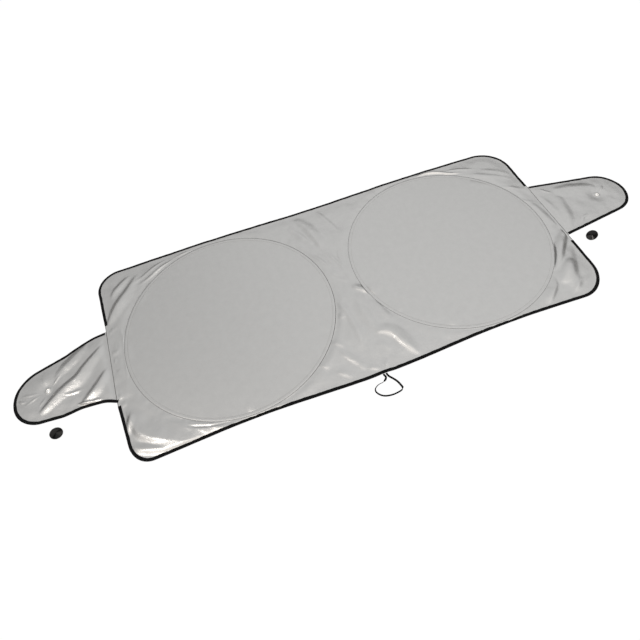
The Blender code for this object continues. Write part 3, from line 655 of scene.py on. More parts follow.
def distance_to(x, y, line):
    """Distance to a line of points, how far along it the nearest place is, and which side it is on."""
    start, step = line[:-1], np.diff(line, axis=0)
    lengths = np.linalg.norm(step, axis=1)
    before = np.concatenate([[0], np.cumsum(lengths)])
    best = np.full(x.shape, np.inf)
    along, left = np.zeros(x.shape), np.zeros(x.shape, bool)
    for (sx, sy), (dx, dy), length, passed in zip(start, step, lengths, before):
        share = np.clip(((x - sx) * dx + (y - sy) * dy) / length ** 2, 0, 1)
        away = np.hypot(x - sx - dx * share, y - sy - dy * share)
        nearer = away < best
        best = np.where(nearer, away, best)
        along = np.where(nearer, (passed + share * length) / before[-1], along)
        left = np.where(nearer, dx * (y - sy) > dy * (x - sx), left)
    return best, along, left


def fold_heights(x, y, folds):
    """Height that the folds add at places on the plan."""
    height = np.zeros(x.shape)
    for half_width, rise, crisp, path in folds:
        line = smooth_through(path, 4) * MM
        on_left, on_right = np.broadcast_to(half_width, 2) * MM
        reach = max(on_left, on_right)
        low, high = line.min(axis=0) - reach, line.max(axis=0) + reach
        near = np.flatnonzero((x > low[0]) & (x < high[0]) & (y > low[1]) & (y < high[1]))
        if not len(near):
            continue
        away, along, left = distance_to(x[near], y[near], line)
        swell = np.sin(math.pi * np.clip(along, 0, 1)) ** 0.7
        share = np.clip(away / (np.where(left, on_left, on_right) * (0.35 + 0.65 * swell)), 0, 1)
        soft = (1 - share ** 2) ** 2
        creased = (1 - share) ** 1.15
        height[near] += rise * MM * swell * (soft * (1 - crisp) + creased * crisp)
    return height


def edge_lift(x, y):
    """How far the free edges lift off the floor, which the binding shares."""
    return (1.1 + 0.7 * grain(x, y, 0.060, 11) + 0.4 * grain(x, y, 0.022, 12)) * MM


def hoop_offset(sizes, x, y):
    """Distance outwards from the nearer hoop, and the angle round it."""
    half_depth, half_width, middle = hoop_shape(sizes)
    px = np.abs(x) - middle
    radius = np.hypot(px, y)
    angle = np.arctan2(y, np.where(x < 0, -px, px))
    hoop = 1 / np.hypot(np.cos(angle) / half_width, np.sin(angle) / half_depth)
    return radius - hoop, angle


def crinkle(x, y):
    """The finest creases of slack cloth."""
    return (0.5 * grain(x, y, 0.040, 1) + 0.12 * grain(x * 1.3 + y, y - x * 0.4, 0.018, 2)) * MM


def clear_of_tape(inside):
    """0 under the binding and 1 where folds may stand, at a distance inside the edge."""
    return ramp(inside, 0.0055, 0.014)


def beyond_row(away, row, fade):
    """How much the stitches gather the cloth at a distance from the wire."""
    return ramp(away, row, row + ROW_REACH) * np.exp(-np.clip(away - row, 0, None) / fade)


def panel_height(sizes, x, y, outline):
    """Height of the underside of the panel, and how slack the cloth is there."""
    away, angle = hoop_offset(sizes, x, y)
    inside = distance_to(x, y, outline)[0]
    seam = distance_sign(sizes, x, y)
    row = sizes.stitch_spacing / 2
    slack = (ramp(away, row, row + SLACK_REACH)
             * ramp(inside, sizes.binding_width, sizes.binding_width + EDGE_REACH))
    # The disc is a drumhead that the wire holds up, and the channel crests over the wire
    crest = np.cos(math.pi / 2 * np.clip(away / row, -1, 1)) ** 2
    drum = 1 - ramp(away, 0, DRUM_FALL)
    ridge = (DRUM_RISE * drum + WIRE_CREST * crest) * ramp(inside, 0.005, 0.010)
    # Small gathers run out from the stitches, and less so inwards
    side = np.where(x < 0, 1.0, 2.0)
    pucker = grain(angle * 8 + side * 40, away * 6, 0.30, 5) + 0.6 * grain(angle * 8, away * 10, 0.12, 6)
    gather = pucker * (GATHER_OUTSIDE * beyond_row(away, row, 0.016)
                       + GATHER_INSIDE * beyond_row(-away, row, 0.012))
    by_seam = np.exp(-np.abs(seam) / 0.010) * ramp(inside, 0.0, ROW_REACH)
    gather += SEAM_PUCKER * grain(y, x * 0.2, 0.010, 7) * by_seam
    loft = PANEL_LOFT * slack * (1 + 0.8 * grain(x, y, 0.075, 3))
    folds = fold_heights(x, y, PANEL_FOLDS) * sizes.fold_height * clear_of_tape(inside)
    off_wire = ramp(np.abs(away), row, row + ROW_REACH)
    free = ramp(away, row, row + FREE_REACH)
    lap = SEAM_LAP_RISE * ramp(-seam, -sizes.seam_lap - SEAM_LAP_REACH, -sizes.seam_lap)
    height = (loft + crinkle(x, y) * slack + gather + folds) * off_wire + ridge + edge_lift(x, y) * free + lap
    return sizes.lie + np.clip(height, 0, None), slack


def distance_sign(sizes, x, y):
    """How far inside the nearer seam line a place is, where an ear lies under the panel."""
    inside = np.full(x.shape, 1.0)
    for side in (-1, 1):
        start = np.array(from_ear(sizes, side, 0, 0))
        out = np.array(from_ear(sizes, side, 1, 0)) - start
        along = (x - start[0]) * out[0] + (y - start[1]) * out[1]
        across = np.abs((x - start[0]) * out[1] - (y - start[1]) * out[0])
        covered = across < sizes.ear_base / 2 + SEAM_COVER
        inside = np.where(covered & (x * side > 0), -along, inside)
    return inside


def ear_height(sizes, x, y, outline, side):
    """Height of the underside of an ear, and how slack the cloth is there."""
    inside = distance_to(x, y, outline)[0]
    seam = distance_sign(sizes, x, y)
    eyelet_x, eyelet_y = eyelet_place(side)
    ring = np.hypot(x - eyelet_x, y - eyelet_y)
    # The cloth lies flat in the seam and under the eyelet, and the left panel edge bows over its ear
    open_seam = ramp(-seam, 0.000, 0.016) if side > 0 else ramp(-seam, SIDE_BOW, SIDE_BOW + 0.018)
    slack = (ramp(inside, sizes.binding_width * 0.8, EDGE_REACH) * ramp(ring, EYELET_FLAT, 0.040)
             * open_seam)
    folds = (fold_heights(x, y, EAR_FOLDS["left" if side < 0 else "right"]) * sizes.fold_height
             * clear_of_tape(inside) * ramp(ring, EYELET_FLAT, 0.030))
    land = EYELET_LAND * (1 - ramp(ring, 0.0085, 0.0115))
    lift = edge_lift(x, y) * ramp(ring, EYELET_FLAT, 0.045)
    height = (EAR_LOFT + crinkle(x, y)) * slack + (folds + lift) * open_seam + land
    return sizes.lie + np.clip(height, 0, None), slack


# Meshes

def add_lattice(bm, points, uvs, slack=None):
    """Add a grid whose corners are set out by rows and columns of places."""
    rows, columns = points.shape[:2]
    uv_layer = bm.loops.layers.uv.verify()
    slack_layer = bm.verts.layers.float.get("slack") or bm.verts.layers.float.new("slack")
    made = bmesh.ops.create_grid(bm, x_segments=columns - 1, y_segments=rows - 1, size=1)["verts"]
    faces = {face for vert in made for face in vert.link_faces}
    place = {vert: (round((vert.co.y + 1) / 2 * (rows - 1)), round((vert.co.x + 1) / 2 * (columns - 1)))
             for vert in made}
    for face in faces:
        for loop in face.loops:
            loop[uv_layer].uv = uvs[place[loop.vert]]
    for vert, at in place.items():
        vert.co = points[at]
        if slack is not None:
            vert[slack_layer] = slack[at]


def finish_mesh(name, bm, material, facing_up=False, angle=40):
    """Merge the seams of a bmesh and turn it into a smooth object."""
    bmesh.ops.remove_doubles(bm, verts=bm.verts[:], dist=0.00001)
    bmesh.ops.dissolve_degenerate(bm, edges=bm.edges[:], dist=0.000005)
    if facing_up:
        bm.normal_update()
        if sum(face.normal.z * face.calc_area() for face in bm.faces) < 0:
            bmesh.ops.reverse_faces(bm, faces=bm.faces[:])
    else:
        bmesh.ops.recalc_face_normals(bm, faces=bm.faces[:])
    mesh = bpy.data.meshes.new(name)
    bm.to_mesh(mesh)
    bm.free()
    mesh.shade_smooth()
    mesh.set_sharp_from_angle(angle=math.radians(angle))
    mesh.materials.append(material)
    obj = bpy.data.objects.new(name, mesh)
    bpy.context.scene.collection.objects.link(obj)
    return obj


def cap_ends(bm):
    """Close the open ends of a swept band."""
    bmesh.ops.remove_doubles(bm, verts=bm.verts[:], dist=0.00001)
    bmesh.ops.holes_fill(bm, edges=[edge for edge in bm.edges if edge.is_boundary], sides=0)


def settle(obj, slot, *nodes):
    """Tie a piece to the cover's one body, and hide the CAD nodes that it replaces. The slot, its finish, is
    not used.
    """
    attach(obj, "root")
    if nodes:
        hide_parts(*nodes)


def give_thickness(obj, thickness):
    """Give a sheet its thickness, downwards."""
    shell = obj.modifiers.new("Thickness", "SOLIDIFY")
    shell.thickness = thickness
    shell.offset = -1


def sweep_points(line, profile, closed=False):
    """Places and UVs of a profile of (outward, height) swept along a line on the plan."""
    line = np.asarray(line)
    if closed:
        step = np.roll(line, -1, axis=0) - np.roll(line, 1, axis=0)
        line, step = np.vstack([line, line[:1]]), np.vstack([step, step[:1]])
    else:
        step = np.gradient(line, axis=0)
    step /= np.linalg.norm(step, axis=1)[:, None]
    normal = np.stack([step[:, 1], -step[:, 0]], axis=1)
    along = np.concatenate([[0], np.cumsum(np.linalg.norm(np.diff(line, axis=0), axis=1))])
    profile = np.asarray(profile)
    profile = np.vstack([profile, profile[:1]])
    across = np.concatenate([[0], np.cumsum(np.linalg.norm(np.diff(profile, axis=0), axis=1))])
    points = np.zeros((len(line), len(profile), 3))
    points[:, :, :2] = line[:, None, :] + normal[:, None, :] * profile[None, :, :1]
    points[:, :, 2] = profile[None, :, 1]
    uvs = np.stack(np.broadcast_arrays(along[:, None], across[None, :]), axis=2)
    return points, uvs


def turned_piece(profile, steps, closed=False):
    """A bmesh of a profile of (radius, height) spun round the Z axis."""
    bm = bmesh.new()
    verts = [bm.verts.new((radius, 0, z)) for radius, z in profile]
    pairs = zip(verts, verts[1:] + verts[:1]) if closed else zip(verts, verts[1:])
    edges = [bm.edges.new(pair) for pair in pairs]
    bmesh.ops.spin(bm, geom=verts + edges, axis=(0, 0, 1), cent=(0, 0, 0), angle=2 * math.pi,
                   steps=steps, use_merge=True)
    return bm


def cell_lattice(centre, boundary, rings):
    """Places on rings that widen from a centre to a closed boundary.

    Each ring is given as a function of the reach of a ray and its direction.
    """
    boundary = np.vstack([boundary, boundary[:1]])
    ray = boundary - centre
    reach = np.linalg.norm(ray, axis=1)
    ray = ray / reach[:, None]
    radii = np.stack([ring(reach, ray) for ring in rings])
    return centre + ray[None] * radii[..., None]


class FrostCoverOperator:
    """Shared by the cover's operators"""
    bl_options = {"REGISTER", "UNDO"}

    @property
    def sizes(self):
        return bpy.context.scene.frost_cover_sizes

    @property
    def colours(self):
        return bpy.context.scene.frost_cover_colours

    def silver_cloth(self):
        return cover_material(coated_taffeta, "Silver coated taffeta", tuple(self.colours.silver))

    def binding_tape(self):
        return cover_material(woven_tape, "Black polyester tape", tuple(self.colours.binding), 1.0, False)

    def sew(self, name, places, half_length, half_width, thread, tint):
        """Lay one stitch at each place along a row on the face of the panel."""
        _, loop = panel_outline(self.sizes)
        height, _ = panel_height(self.sizes, places[:, 0], places[:, 1], loop)
        ahead = np.gradient(places, axis=0)
        bm = bmesh.new()
        for (x, y), z, (dx, dy), width in zip(places, height, ahead, half_width):
            matrix = (Matrix.Translation((x, y, z + self.sizes.cloth + STITCH_LIFT))
                      @ Matrix.Rotation(math.atan2(dy, dx), 4, "Z")
                      @ Matrix.Diagonal((half_length, width, STITCH_HALF_HEIGHT, 1)))
            bmesh.ops.create_icosphere(bm, subdivisions=1, radius=1, matrix=matrix)
        settle(finish_mesh(name, bm, cover_material(spun_thread, thread, tuple(tint))), "silver_cloth")


class FROSTCOVER_OT_stage(FrostCoverOperator, bpy.types.Operator):
    """Set up the floor, the lights and the camera"""
    bl_idname = "frostcover.stage"
    bl_label = "Stage"

    def execute(self, context):
        scene = context.scene
        scene.view_settings.view_transform = "Standard"
        bm = bmesh.new()
        bmesh.ops.create_grid(bm, x_segments=1, y_segments=1, size=FLOOR_SIZE / 2)
        bmesh.ops.translate(bm, verts=bm.verts, vec=(0, 0, -FLOOR_DROP))
        white = cover_material(studio_white, "Matt white floor", tuple(self.colours.floor))
        finish_mesh("studio_floor", bm, white, facing_up=True)
        self.add_room(scene)
        self.softbox("key", place=(-2.7, -0.6, 4.3), target=(-0.3, 0.0, 0.0), width=0.45, depth=0.35,
                     power=36, tint=(1.0, 0.94, 0.88))
        self.softbox("kicker", place=(1.9, -2.2, 3.0), target=(0.4, 0.0, 0.0), width=0.30, depth=0.25,
                     power=9, tint=(1.0, 0.95, 0.91))
        self.add_camera(scene)
        return {"FINISHED"}

    def add_room(self, scene):
        """Light the cover by a plain room, which it mirrors and the camera doesn't see.

        The room is bright overhead and dark near the floor, and a little darker to the left. Behind the
        camera it is brighter and warmer, and the creases that lean that way mirror it.
        """
        world = bpy.data.worlds.new("Studio")
        scene.world = world
        world.use_nodes = True
        tree = world.node_tree
        way = add_node(tree, "ShaderNodeSeparateXYZ", {0: coordinates(tree, "Generated")}).outputs

        def fade(axis, start, end, low, high):
            """Ease from low to high between two values of the direction looked in."""
            return add_node(tree, "ShaderNodeMapRange",
                            {"Value": way[axis], 1: start, 2: end, 3: low, 4: high},
                            interpolation_type="SMOOTHSTEP").outputs[0]

        level = math_node(tree, "MULTIPLY",
                          fade("Z", 0.20, 0.62, 0.08, 0.91), fade("X", -0.45, 0.25, 0.76, 1.08))
        behind = math_node(tree, "MULTIPLY",
                           fade("Y", 0.20, -0.14, 0.0, 1.0), fade("X", 0.55, 0.15, 0.0, 1.0))
        window = math_node(tree, "MULTIPLY_ADD", behind, 1.1, 1.0)
        warmth = add_node(tree, "ShaderNodeVectorMath",
                          {0: (0.0, -0.05, -0.10), 1: behind, 2: (1.0, 1.0, 1.0)},
                          operation="MULTIPLY_ADD").outputs[0]
        room = tree.nodes["Background"]
        connect(tree, room, Color=warmth, Strength=math_node(tree, "MULTIPLY", level, window))
        path = add_node(tree, "ShaderNodeLightPath").outputs["Is Camera Ray"]
        seen = add_node(tree, "ShaderNodeBackground", {"Color": (1, 1, 1, 1), "Strength": 1.0}).outputs[0]
        mix = add_node(tree, "ShaderNodeMixShader", {0: path, 1: room.outputs[0], 2: seen})
        tree.links.new(mix.outputs[0], tree.nodes["World Output"].inputs["Surface"])

    def softbox(self, name, place, target, width, depth, power, tint):
        """Add a rectangular soft light that faces a target."""
        light = bpy.data.lights.new(name, "AREA")
        light.shape = "RECTANGLE"
        light.size, light.size_y = width, depth
        light.energy = power
        light.color = tint
        obj = bpy.data.objects.new(name, light)
        obj.location = place
        obj.rotation_euler = (Vector(target) - Vector(place)).to_track_quat("-Z", "Y").to_euler()
        bpy.context.scene.collection.objects.link(obj)

    def add_camera(self, scene):
        """Look at the cover as the photograph does."""
        level, height = math.cos(CAMERA_ELEVATION), math.sin(CAMERA_ELEVATION)
        back = Vector((math.sin(CAMERA_AZIMUTH) * level, -math.cos(CAMERA_AZIMUTH) * level, height))
        right = Vector((math.cos(CAMERA_AZIMUTH), math.sin(CAMERA_AZIMUTH), 0))
        turned = Matrix((right, back.cross(right), back)).transposed() @ Matrix.Rotation(CAMERA_ROLL, 3, "Z")
        lens = bpy.data.cameras.new("Camera")
        lens.sensor_width = SENSOR
        lens.lens = SENSOR * FOCAL_LENGTH
        lens.clip_start = 0.01
        camera = bpy.data.objects.new("Camera", lens)
        camera.matrix_world = Matrix.Translation(CAMERA_TARGET + back * CAMERA_DISTANCE) @ turned.to_4x4()
        scene.collection.objects.link(camera)
        scene.camera = camera


class FROSTCOVER_OT_panel(FrostCoverOperator, bpy.types.Operator):
    """Build the silver panel with its hoop channels and folds"""
    bl_idname = "frostcover.panel"
    bl_label = "Panel"

    def execute(self, context):
        sizes = self.sizes
        half_depth, half_width, middle = hoop_shape(sizes)
        outline, loop = panel_outline(sizes)
        near, _, far, _ = (np.array([tuple(point) for point in line]) for line in panel_stretches(sizes))
        low = np.interp(0, near[:, 0], near[:, 1])
        high = np.interp(0, far[::-1, 0], far[::-1, 1])
        steps = np.linspace(low, high, MIDDLE_COLUMNS + 1)
        middle_line = np.stack([np.zeros(len(steps)), steps], axis=1)
        row = sizes.stitch_spacing / 2
        reach_out = CHANNEL_REACH * row

        def hoop_radius(ray):
            return 1 / np.hypot(ray[:, 0] / half_width, ray[:, 1] / half_depth)

        rings = [lambda reach, ray, share=share: (hoop_radius(ray) - reach_out) * share
                 for share in np.linspace(0, 1, DISC_RINGS + 1)[:-1] ** 0.7]
        rings += [lambda reach, ray, step=step: hoop_radius(ray) + step * row for step in CHANNEL_RINGS]
        rings += [lambda reach, ray, share=share: (hoop_radius(ray) + reach_out) * (1 - share) + reach * share
                  for share in np.linspace(0, 1, FIELD_RINGS + 1)[1:]]
        bm = bmesh.new()
        for side in (-1, 1):
            # Each half of the counter-clockwise outline is put in one run from the middle line
            half = outline[(outline[:, 0] * side) > 0.0005]
            angle = np.arctan2(half[:, 1], half[:, 0] - side * 0.05)
            half = half[np.argsort(angle % (2 * math.pi) if side < 0 else angle)]
            first, last = [(0, low), (0, high)][::side]
            run = resample(np.vstack([[first], half, [last]]), EDGE_COLUMNS)[:-1]
            boundary = np.vstack([run, middle_line[::-side][:-1]])
            plan = cell_lattice(np.array([side * middle, 0.0]), boundary, rings)
            height, slack = panel_height(sizes, plan[..., 0].ravel(), plan[..., 1].ravel(), loop)
            top = height.reshape(plan.shape[:2]) + sizes.cloth
            add_lattice(bm, np.dstack([plan, top]), plan, slack.reshape(plan.shape[:2]))
        panel = finish_mesh("panel_cloth", bm, self.silver_cloth(), facing_up=True, angle=75)
        give_thickness(panel, sizes.cloth)
        settle(panel, "silver_cloth", "main_panel")
        return {"FINISHED"}


class FROSTCOVER_OT_ears(FrostCoverOperator, bpy.types.Operator):
    """Build the two ears with their folds and eyelet holes"""
    bl_idname = "frostcover.ears"
    bl_label = "Ears"

    def execute(self, context):
        sizes = self.sizes
        rings = [lambda reach, ray, radius=radius: np.full(reach.shape, radius) for radius in EYELET_RINGS]
        rings += [lambda reach, ray, share=share: EYELET_RINGS[-1] * (1 - share) + reach * share
                  for share in np.linspace(0, 1, EAR_RINGS + 1)[1:]]
        for side, word in SIDES:
            loop = closed_loop(ear_outline(sizes, side), EAR_LOOP_POINTS)
            eyelet = np.array(from_ear(sizes, side, sizes.ear_length - EYELET_FROM_TIP, 0))
            plan = cell_lattice(eyelet, loop[:-1], rings)
            height, slack = ear_height(sizes, plan[..., 0].ravel(), plan[..., 1].ravel(), loop, side)
            bm = bmesh.new()
            top = height.reshape(plan.shape[:2]) + sizes.cloth
            add_lattice(bm, np.dstack([plan, top]), plan, slack.reshape(plan.shape[:2]))
            ear = finish_mesh(f"ear_cloth_{word}", bm, self.silver_cloth(), facing_up=True, angle=75)
            give_thickness(ear, sizes.cloth)
            settle(ear, "silver_cloth", f"ear_{word}")
        return {"FINISHED"}


class FROSTCOVER_OT_bindings(FrostCoverOperator, bpy.types.Operator):
    """Fold the black binding round the free edges"""
    bl_idname = "frostcover.bindings"
    bl_label = "Bindings"

    def execute(self, context):
        sizes = self.sizes
        near, _, far, _ = panel_stretches(sizes)
        lines = [("edge_tape_near", near, "panel_binding_near"), ("edge_tape_far", far, "panel_binding_far")]
        start = math.ceil((sizes.seam_lap + EAR_TAPE_START) / EDGE_STEP)
        for side, word in SIDES:
            line = ear_outline(sizes, side)[start:-start]
            lines.append((f"edge_tape_ear_{word}", line, f"ear_binding_{word}"))
        for name, line, node in lines:
            line = resample(line, len(line))
            bm = bmesh.new()
            points, uvs = sweep_points(line, self.profile())
            normal = self.outward_normal(line)
            # The tape lies wider on the near side, as the photograph shows it
            wider = np.interp(normal[:, 1], [-1, 1], TAPE_WIDER)
            reach = np.clip(self.outward(points, line), None, 0)
            points[..., :2] += normal[:, None, :] * (reach * wider[:, None])[..., None]
            x, y = points[..., 0], points[..., 1]
            # The stitches pull the inner edge in a little, and the tape rises between them
            along = uvs[..., 0]
            inner = ramp(-self.outward(points, line), 0.003, 0.007)
            pull = inner * TAPE_PULL * grain(along, np.zeros(x.shape), 0.009, 21)
            points[..., :2] += normal[:, None, :] * pull[..., None]
            swell = TAPE_SWELL * (points[..., 2] > 0.001) * grain(along, np.ones(x.shape), 0.006, 22)
            points[..., 2] += edge_lift(x, y) * self.freedom(sizes, x, y) + swell
            add_lattice(bm, points, uvs)
            cap_ends(bm)
            tape = finish_mesh(name, bm, self.binding_tape(), angle=50)
            settle(tape, "black_binding", node)
        return {"FINISHED"}

    def profile(self):
        """Section of the folded tape, from the inner edge of its upper leg round to its slot."""
        width, lie = self.sizes.binding_width, self.sizes.lie
        top = lie + TAPE_TOP
        mid = top / 2
        upper = [(-width, top - 0.0001), (-width + 0.0003, top + 0.00004), (-width * 0.7, top - 0.00002),
                 (-width * 0.35, top + 0.00005), (-0.0004, top)]
        fold = [(0.0003, top - 0.0002), (0.0007, mid + 0.0003), (0.0007, mid - 0.0003), (0.0003, 0.0002)]
        lower = [(-0.0004, 0.0), (-width * 0.5, 0.0), (-width, 0.0)]
        slot = [(-width, lie - 0.0003), (-0.0002, lie - 0.0002), (0.0002, mid), (-0.0002, lie + 0.0006),
                (-width, lie + 0.0007)]
        return upper + fold + lower + slot

    def outward_normal(self, line):
        """Directions on the plan that point away from the cloth."""
        step = np.gradient(line, axis=0)
        step /= np.linalg.norm(step, axis=1)[:, None]
        return np.stack([step[:, 1], -step[:, 0]], axis=1)

    def outward(self, points, line):
        """How far the points lie outwards from the line."""
        return np.einsum("ijk,ik->ij", points[..., :2] - line[:, None, :], self.outward_normal(line))

    def freedom(self, sizes, x, y):
        """1 where an edge is free to lift, and 0 where a channel or a seam holds it down."""
        away, _ = hoop_offset(sizes, x, y)
        seam = np.abs(distance_sign(sizes, x, y))
        row = sizes.stitch_spacing / 2
        return ramp(away, row, row + FREE_REACH) * ramp(seam, 0.0, 0.016)


class FROSTCOVER_OT_hoops(FrostCoverOperator, bpy.types.Operator):
    """Sew the channel tapes under the panel and finish the hoop wires"""
    bl_idname = "frostcover.hoops"
    bl_label = "Hoops"

    def execute(self, context):
        sizes = self.sizes
        half_depth, half_width, middle = hoop_shape(sizes)
        wire = cover_material(worn_metal, "Drawn spring steel", tuple(self.colours.steel), 0.32, 2.0)
        for side, word in SIDES:
            turn = np.linspace(0, 2 * math.pi, 361)[:-1]
            hoop = np.stack([side * middle + half_width * np.cos(turn), half_depth * np.sin(turn)], axis=1)
            half = sizes.channel_tape / 2
            profile = [(-half, 0.0001), (-half + 0.0002, 0.0), (half - 0.0002, 0.0), (half, 0.0001),
                       (half, 0.0003), (half - 0.0002, 0.0004), (-half + 0.0002, 0.0004), (-half, 0.0003)]
            points, uvs = sweep_points(hoop, profile, closed=True)
            bm = bmesh.new()
            add_lattice(bm, points, uvs)
            tape = finish_mesh(f"channel_tape_{word}", bm, self.silver_cloth())
            settle(tape, "silver_cloth", f"hoop_channel_{word}")
            self.stitch(word, side, hoop)
            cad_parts[f"hoop_wire_{word}"].material_slots[0].material = wire
        return {"FINISHED"}

    def stitch(self, word, side, hoop):
        """Two rows of lockstitch on the face of the panel, one each side of the wire.

        The outer row is wider and in dark thread, and stands in as painted shade for the crease beside the
        wire, most of all on the left hoop's right side.
        """
        sizes = self.sizes
        step = np.roll(hoop, -1, axis=0) - np.roll(hoop, 1, axis=0)
        step /= np.linalg.norm(step, axis=1)[:, None]
        out = np.stack([step[:, 1], -step[:, 0]], axis=1)
        for way, row, thread, tint, half_width in (
                (-1, "inner", "Grey spun thread", self.colours.thread, 0.0003),
                (1, "outer", "Dark spun thread", self.colours.dark_thread_and_painted_shade, 0.00055)):
            line = hoop + out * way * sizes.stitch_spacing / 2
            places = resample(line, round(HOOP_STITCHES / sizes.stitch_length), closed=True)
            widths = np.full(len(places), half_width)
            # Painted shade: the dark outer row is drawn wider on the left hoop's right side, for the deeper
            # crease shadow there
            if side < 0 < way:
                widths *= 1 + 0.8 * ramp(places[:, 0], -0.30, -0.14)
            self.sew(f"hoop_stitches_{word}_{row}", places, sizes.stitch_length * 0.55, widths, thread, tint)


class FROSTCOVER_OT_seams(FrostCoverOperator, bpy.types.Operator):
    """Oversew the side edges of the panel, where the ears are joined, in dark thread that also paints the
    hem's shade line
    """
    bl_idname = "frostcover.seams"
    bl_label = "Seams"

    def execute(self, context):
        near, right_seam, far, left_seam = panel_stretches(self.sizes)
        for word, seam in (("left", far[-1:] + left_seam + near[:1]),
                           ("right", near[-1:] + right_seam + far[:1])):
            line = np.array([tuple(point) for point in seam])
            run = np.linalg.norm(np.diff(line, axis=0), axis=1).sum()
            places = resample(line, round(run / OVERSEWING))
            places[:, 0] -= np.sign(places[:, 0]) * OVERSEWING_INSET
            # Painted shade: the dark oversewing is drawn 2.2 mm wide, so it also stands for the shadow line
            # of the hem along each seam
            self.sew(f"seam_stitches_{word}", places, 0.0005, np.full(len(places), 0.0011),
                     "Dark spun thread", self.colours.dark_thread_and_painted_shade)
        return {"FINISHED"}


class FROSTCOVER_OT_eyelets(FrostCoverOperator, bpy.types.Operator):
    """Turn the eyelets, with their rolled rims, and finish their washers"""
    bl_idname = "frostcover.eyelets"
    bl_label = "Eyelets"

    def execute(self, context):
        nickel = cover_material(worn_metal, "Nickel plated brass", tuple(self.colours.nickel), 0.22, 1.5)
        for word in ("left", "right"):
            low, high = (Vector(corner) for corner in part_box(f"eyelet_{word}"))
            bore, barrel, flange, top = 0.004, 0.0044, 0.0075, high.z
            under = top - 0.0008
            roll = [(bore, 0.0004), (0.0046, 0.0), (0.0056, 0.0), (0.006, 0.00025), (0.0056, 0.0005),
                    (barrel, 0.0005)]
            rim = [(barrel, under), (flange - 0.0002, under), (flange, under + 0.0003),
                   (flange - 0.0003, top - 0.00015)]
            crown = [(0.0063, top), (0.0052, top - 0.00005), (barrel, top - 0.0003), (bore, top - 0.0009)]
            profile = roll + rim + crown
            bm = turned_piece(profile, 64, closed=True)
            bmesh.ops.translate(bm, verts=bm.verts, vec=((low.x + high.x) / 2, (low.y + high.y) / 2, 0))
            eyelet = finish_mesh(f"eyelet_ring_{word}", bm, nickel, angle=60)
            settle(eyelet, "nickel_plate", f"eyelet_{word}")
            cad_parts[f"eyelet_washer_{word}"].material_slots[0].material = nickel
        return {"FINISHED"}


class FROSTCOVER_OT_elastic(FrostCoverOperator, bpy.types.Operator):
    """Lay out the elastic loop in front of the near edge"""
    bl_idname = "frostcover.elastic"
    bl_label = "Elastic loop"

    def execute(self, context):
        sizes = self.sizes
        _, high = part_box("elastic_loop")
        route = smooth_through(BAND_ROUTE, 5)
        x = PINCH_X + route[:, 0] * MM
        y = high[1] + route[:, 1] * MM
        tilt = np.clip(route[:, 2], LEAN, 1) * math.pi / 2
        half_width, half_thick = sizes.band_width / 2, sizes.band_thickness / 2
        # A flat band: its edges are rounded, and it is slightly crowned
        section = [(-1, -0.55), (-0.93, -0.9), (-0.5, -1), (0.5, -1), (0.93, -0.9), (1, -0.55),
                   (1, 0.55), (0.93, 0.9), (0.5, 1), (-0.5, 1), (-0.93, 0.9), (-1, 0.55)]
        section = np.array(section + section[:1]) * (half_width, half_thick)
        height = (half_width - half_thick) * np.cos(tilt) + half_thick
        ahead = np.stack([np.gradient(x), np.gradient(y)], axis=1)
        ahead /= np.linalg.norm(ahead, axis=1)[:, None]
        across = np.stack([ahead[:, 1], -ahead[:, 0], np.zeros(len(x))], axis=1)
        up = np.array([0.0, 0.0, 1.0])
        wide = across * np.sin(tilt)[:, None] + up * np.cos(tilt)[:, None]
        thick = across * -np.cos(tilt)[:, None] + up * np.sin(tilt)[:, None]
        middle = np.stack([x, y, height], axis=1)
        points = (middle[:, None] + wide[:, None] * section[None, :, :1]
                  + thick[:, None] * section[None, :, 1:])
        points[..., 2] = np.clip(points[..., 2], 0.0, None)
        along = np.concatenate([[0], np.cumsum(np.linalg.norm(np.diff(middle, axis=0), axis=1))])
        width = np.concatenate([[0], np.cumsum(np.linalg.norm(np.diff(section, axis=0), axis=1))])
        uvs = np.stack(np.broadcast_arrays(along[:, None], width[None, :]), axis=2)
        bm = bmesh.new()
        add_lattice(bm, points, uvs)
        cap_ends(bm)
        material = cover_material(woven_tape, "Black woven elastic", tuple(self.colours.elastic), 0.9, True)
        band = finish_mesh("elastic_band", bm, material)
        settle(band, "black_elastic", "elastic_loop")
        return {"FINISHED"}


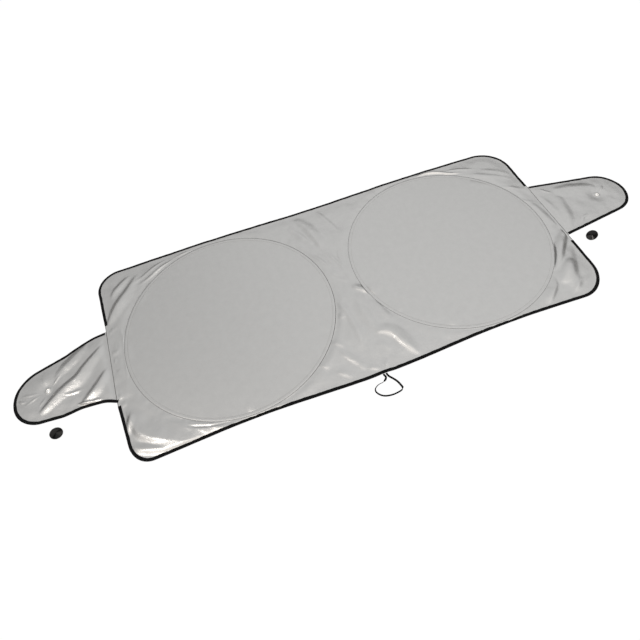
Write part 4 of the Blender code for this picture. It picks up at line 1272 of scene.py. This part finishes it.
class FROSTCOVER_OT_cups(FrostCoverOperator, bpy.types.Operator):
    """Mould the two suction cups that lie beside the ears"""
    bl_idname = "frostcover.cups"
    bl_label = "Suction cups"

    def execute(self, context):
        vinyl = cover_material(moulded_vinyl, "Black moulded vinyl", tuple(self.colours.rubber))
        rim, lip = self.sizes.cup_diameter / 2, 0.0012
        bell_top, hollow, stem, head = 0.0095, 0.0070, 0.0034, 0.007
        neck = bell_top + 0.005
        mushroom = [(0, neck + 0.006), (head * 0.45, neck + 0.0058), (head * 0.8, neck + 0.0048),
                    (head * 0.97, neck + 0.0036), (head, neck + 0.003), (head * 0.97, neck + 0.0018),
                    (head * 0.85, neck + 0.0004), (head * 0.7, neck), (stem, neck), (stem, bell_top + 0.001)]
        bell = [(stem + (rim - stem) * share, lip + (bell_top - lip) * (1 - share ** 2))
                for share in np.linspace(0.03, 1, 16)]
        edge = [(rim + 0.0001, lip * 0.5), (rim - 0.0002, 0.0001), (rim - 0.0007, 0.0)]
        inside = [((rim - lip) * share, hollow * (1 - share ** 1.05)) for share in np.linspace(1, 0, 18)]
        profile = mushroom + bell + edge + inside
        # A cup lies on the rim of its bell and the rim of its head
        tilt = math.atan2(rim - head, neck + 0.003 - lip)
        for word, faces in (("left", -45), ("right", 220)):
            low, high = (Vector(corner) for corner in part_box(f"suction_cup_{word}"))
            bm = turned_piece(profile, 72)
            turn = Matrix.Rotation(math.radians(faces), 4, "Z") @ Matrix.Rotation(-math.pi / 2 - tilt, 4, "Y")
            bmesh.ops.transform(bm, matrix=turn, verts=bm.verts)
            corner = Vector([min(vert.co[i] for vert in bm.verts) for i in range(3)])
            far_corner = Vector([max(vert.co[i] for vert in bm.verts) for i in range(3)])
            middle = (low + high - corner - far_corner) / 2
            bmesh.ops.translate(bm, verts=bm.verts, vec=(middle.x, middle.y, -corner.z))
            cup = finish_mesh(f"cup_{word}", bm, vinyl, angle=60)
            settle(cup, "black_rubber", f"suction_cup_{word}")
        return {"FINISHED"}


class FROSTCOVER_PT_sidebar(bpy.types.Panel):
    """Lists the cover's operators and sizes"""
    bl_label = "Frost Cover"
    bl_idname = "FROSTCOVER_PT_sidebar"
    bl_space_type = "VIEW_3D"
    bl_region_type = "UI"
    bl_category = "Frost Cover"

    def draw(self, context):
        for operator in OPERATORS:
            self.layout.operator(operator.bl_idname)
        for group in (context.scene.frost_cover_sizes, context.scene.frost_cover_colours):
            for name in group.__annotations__:
                self.layout.prop(group, name)


OPERATORS = (FROSTCOVER_OT_stage, FROSTCOVER_OT_elastic, FROSTCOVER_OT_panel, FROSTCOVER_OT_ears,
             FROSTCOVER_OT_bindings, FROSTCOVER_OT_hoops, FROSTCOVER_OT_seams, FROSTCOVER_OT_eyelets,
             FROSTCOVER_OT_cups)
CLASSES = (FrostCoverSizes, FrostCoverColours, *OPERATORS, FROSTCOVER_PT_sidebar)


def register():
    for cls in CLASSES:
        bpy.utils.register_class(cls)
    bpy.types.Scene.frost_cover_sizes = PointerProperty(type=FrostCoverSizes)
    bpy.types.Scene.frost_cover_colours = PointerProperty(type=FrostCoverColours)


def unregister():
    del bpy.types.Scene.frost_cover_colours
    del bpy.types.Scene.frost_cover_sizes
    for cls in reversed(CLASSES):
        bpy.utils.unregister_class(cls)


def main():
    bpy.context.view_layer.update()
    register()
    bpy.ops.frostcover.stage()
    bpy.ops.frostcover.elastic()
    bpy.ops.frostcover.panel()
    bpy.ops.frostcover.ears()
    bpy.ops.frostcover.bindings()
    bpy.ops.frostcover.hoops()
    bpy.ops.frostcover.seams()
    bpy.ops.frostcover.eyelets()
    bpy.ops.frostcover.cups()


if __name__ == "__main__":
    main()
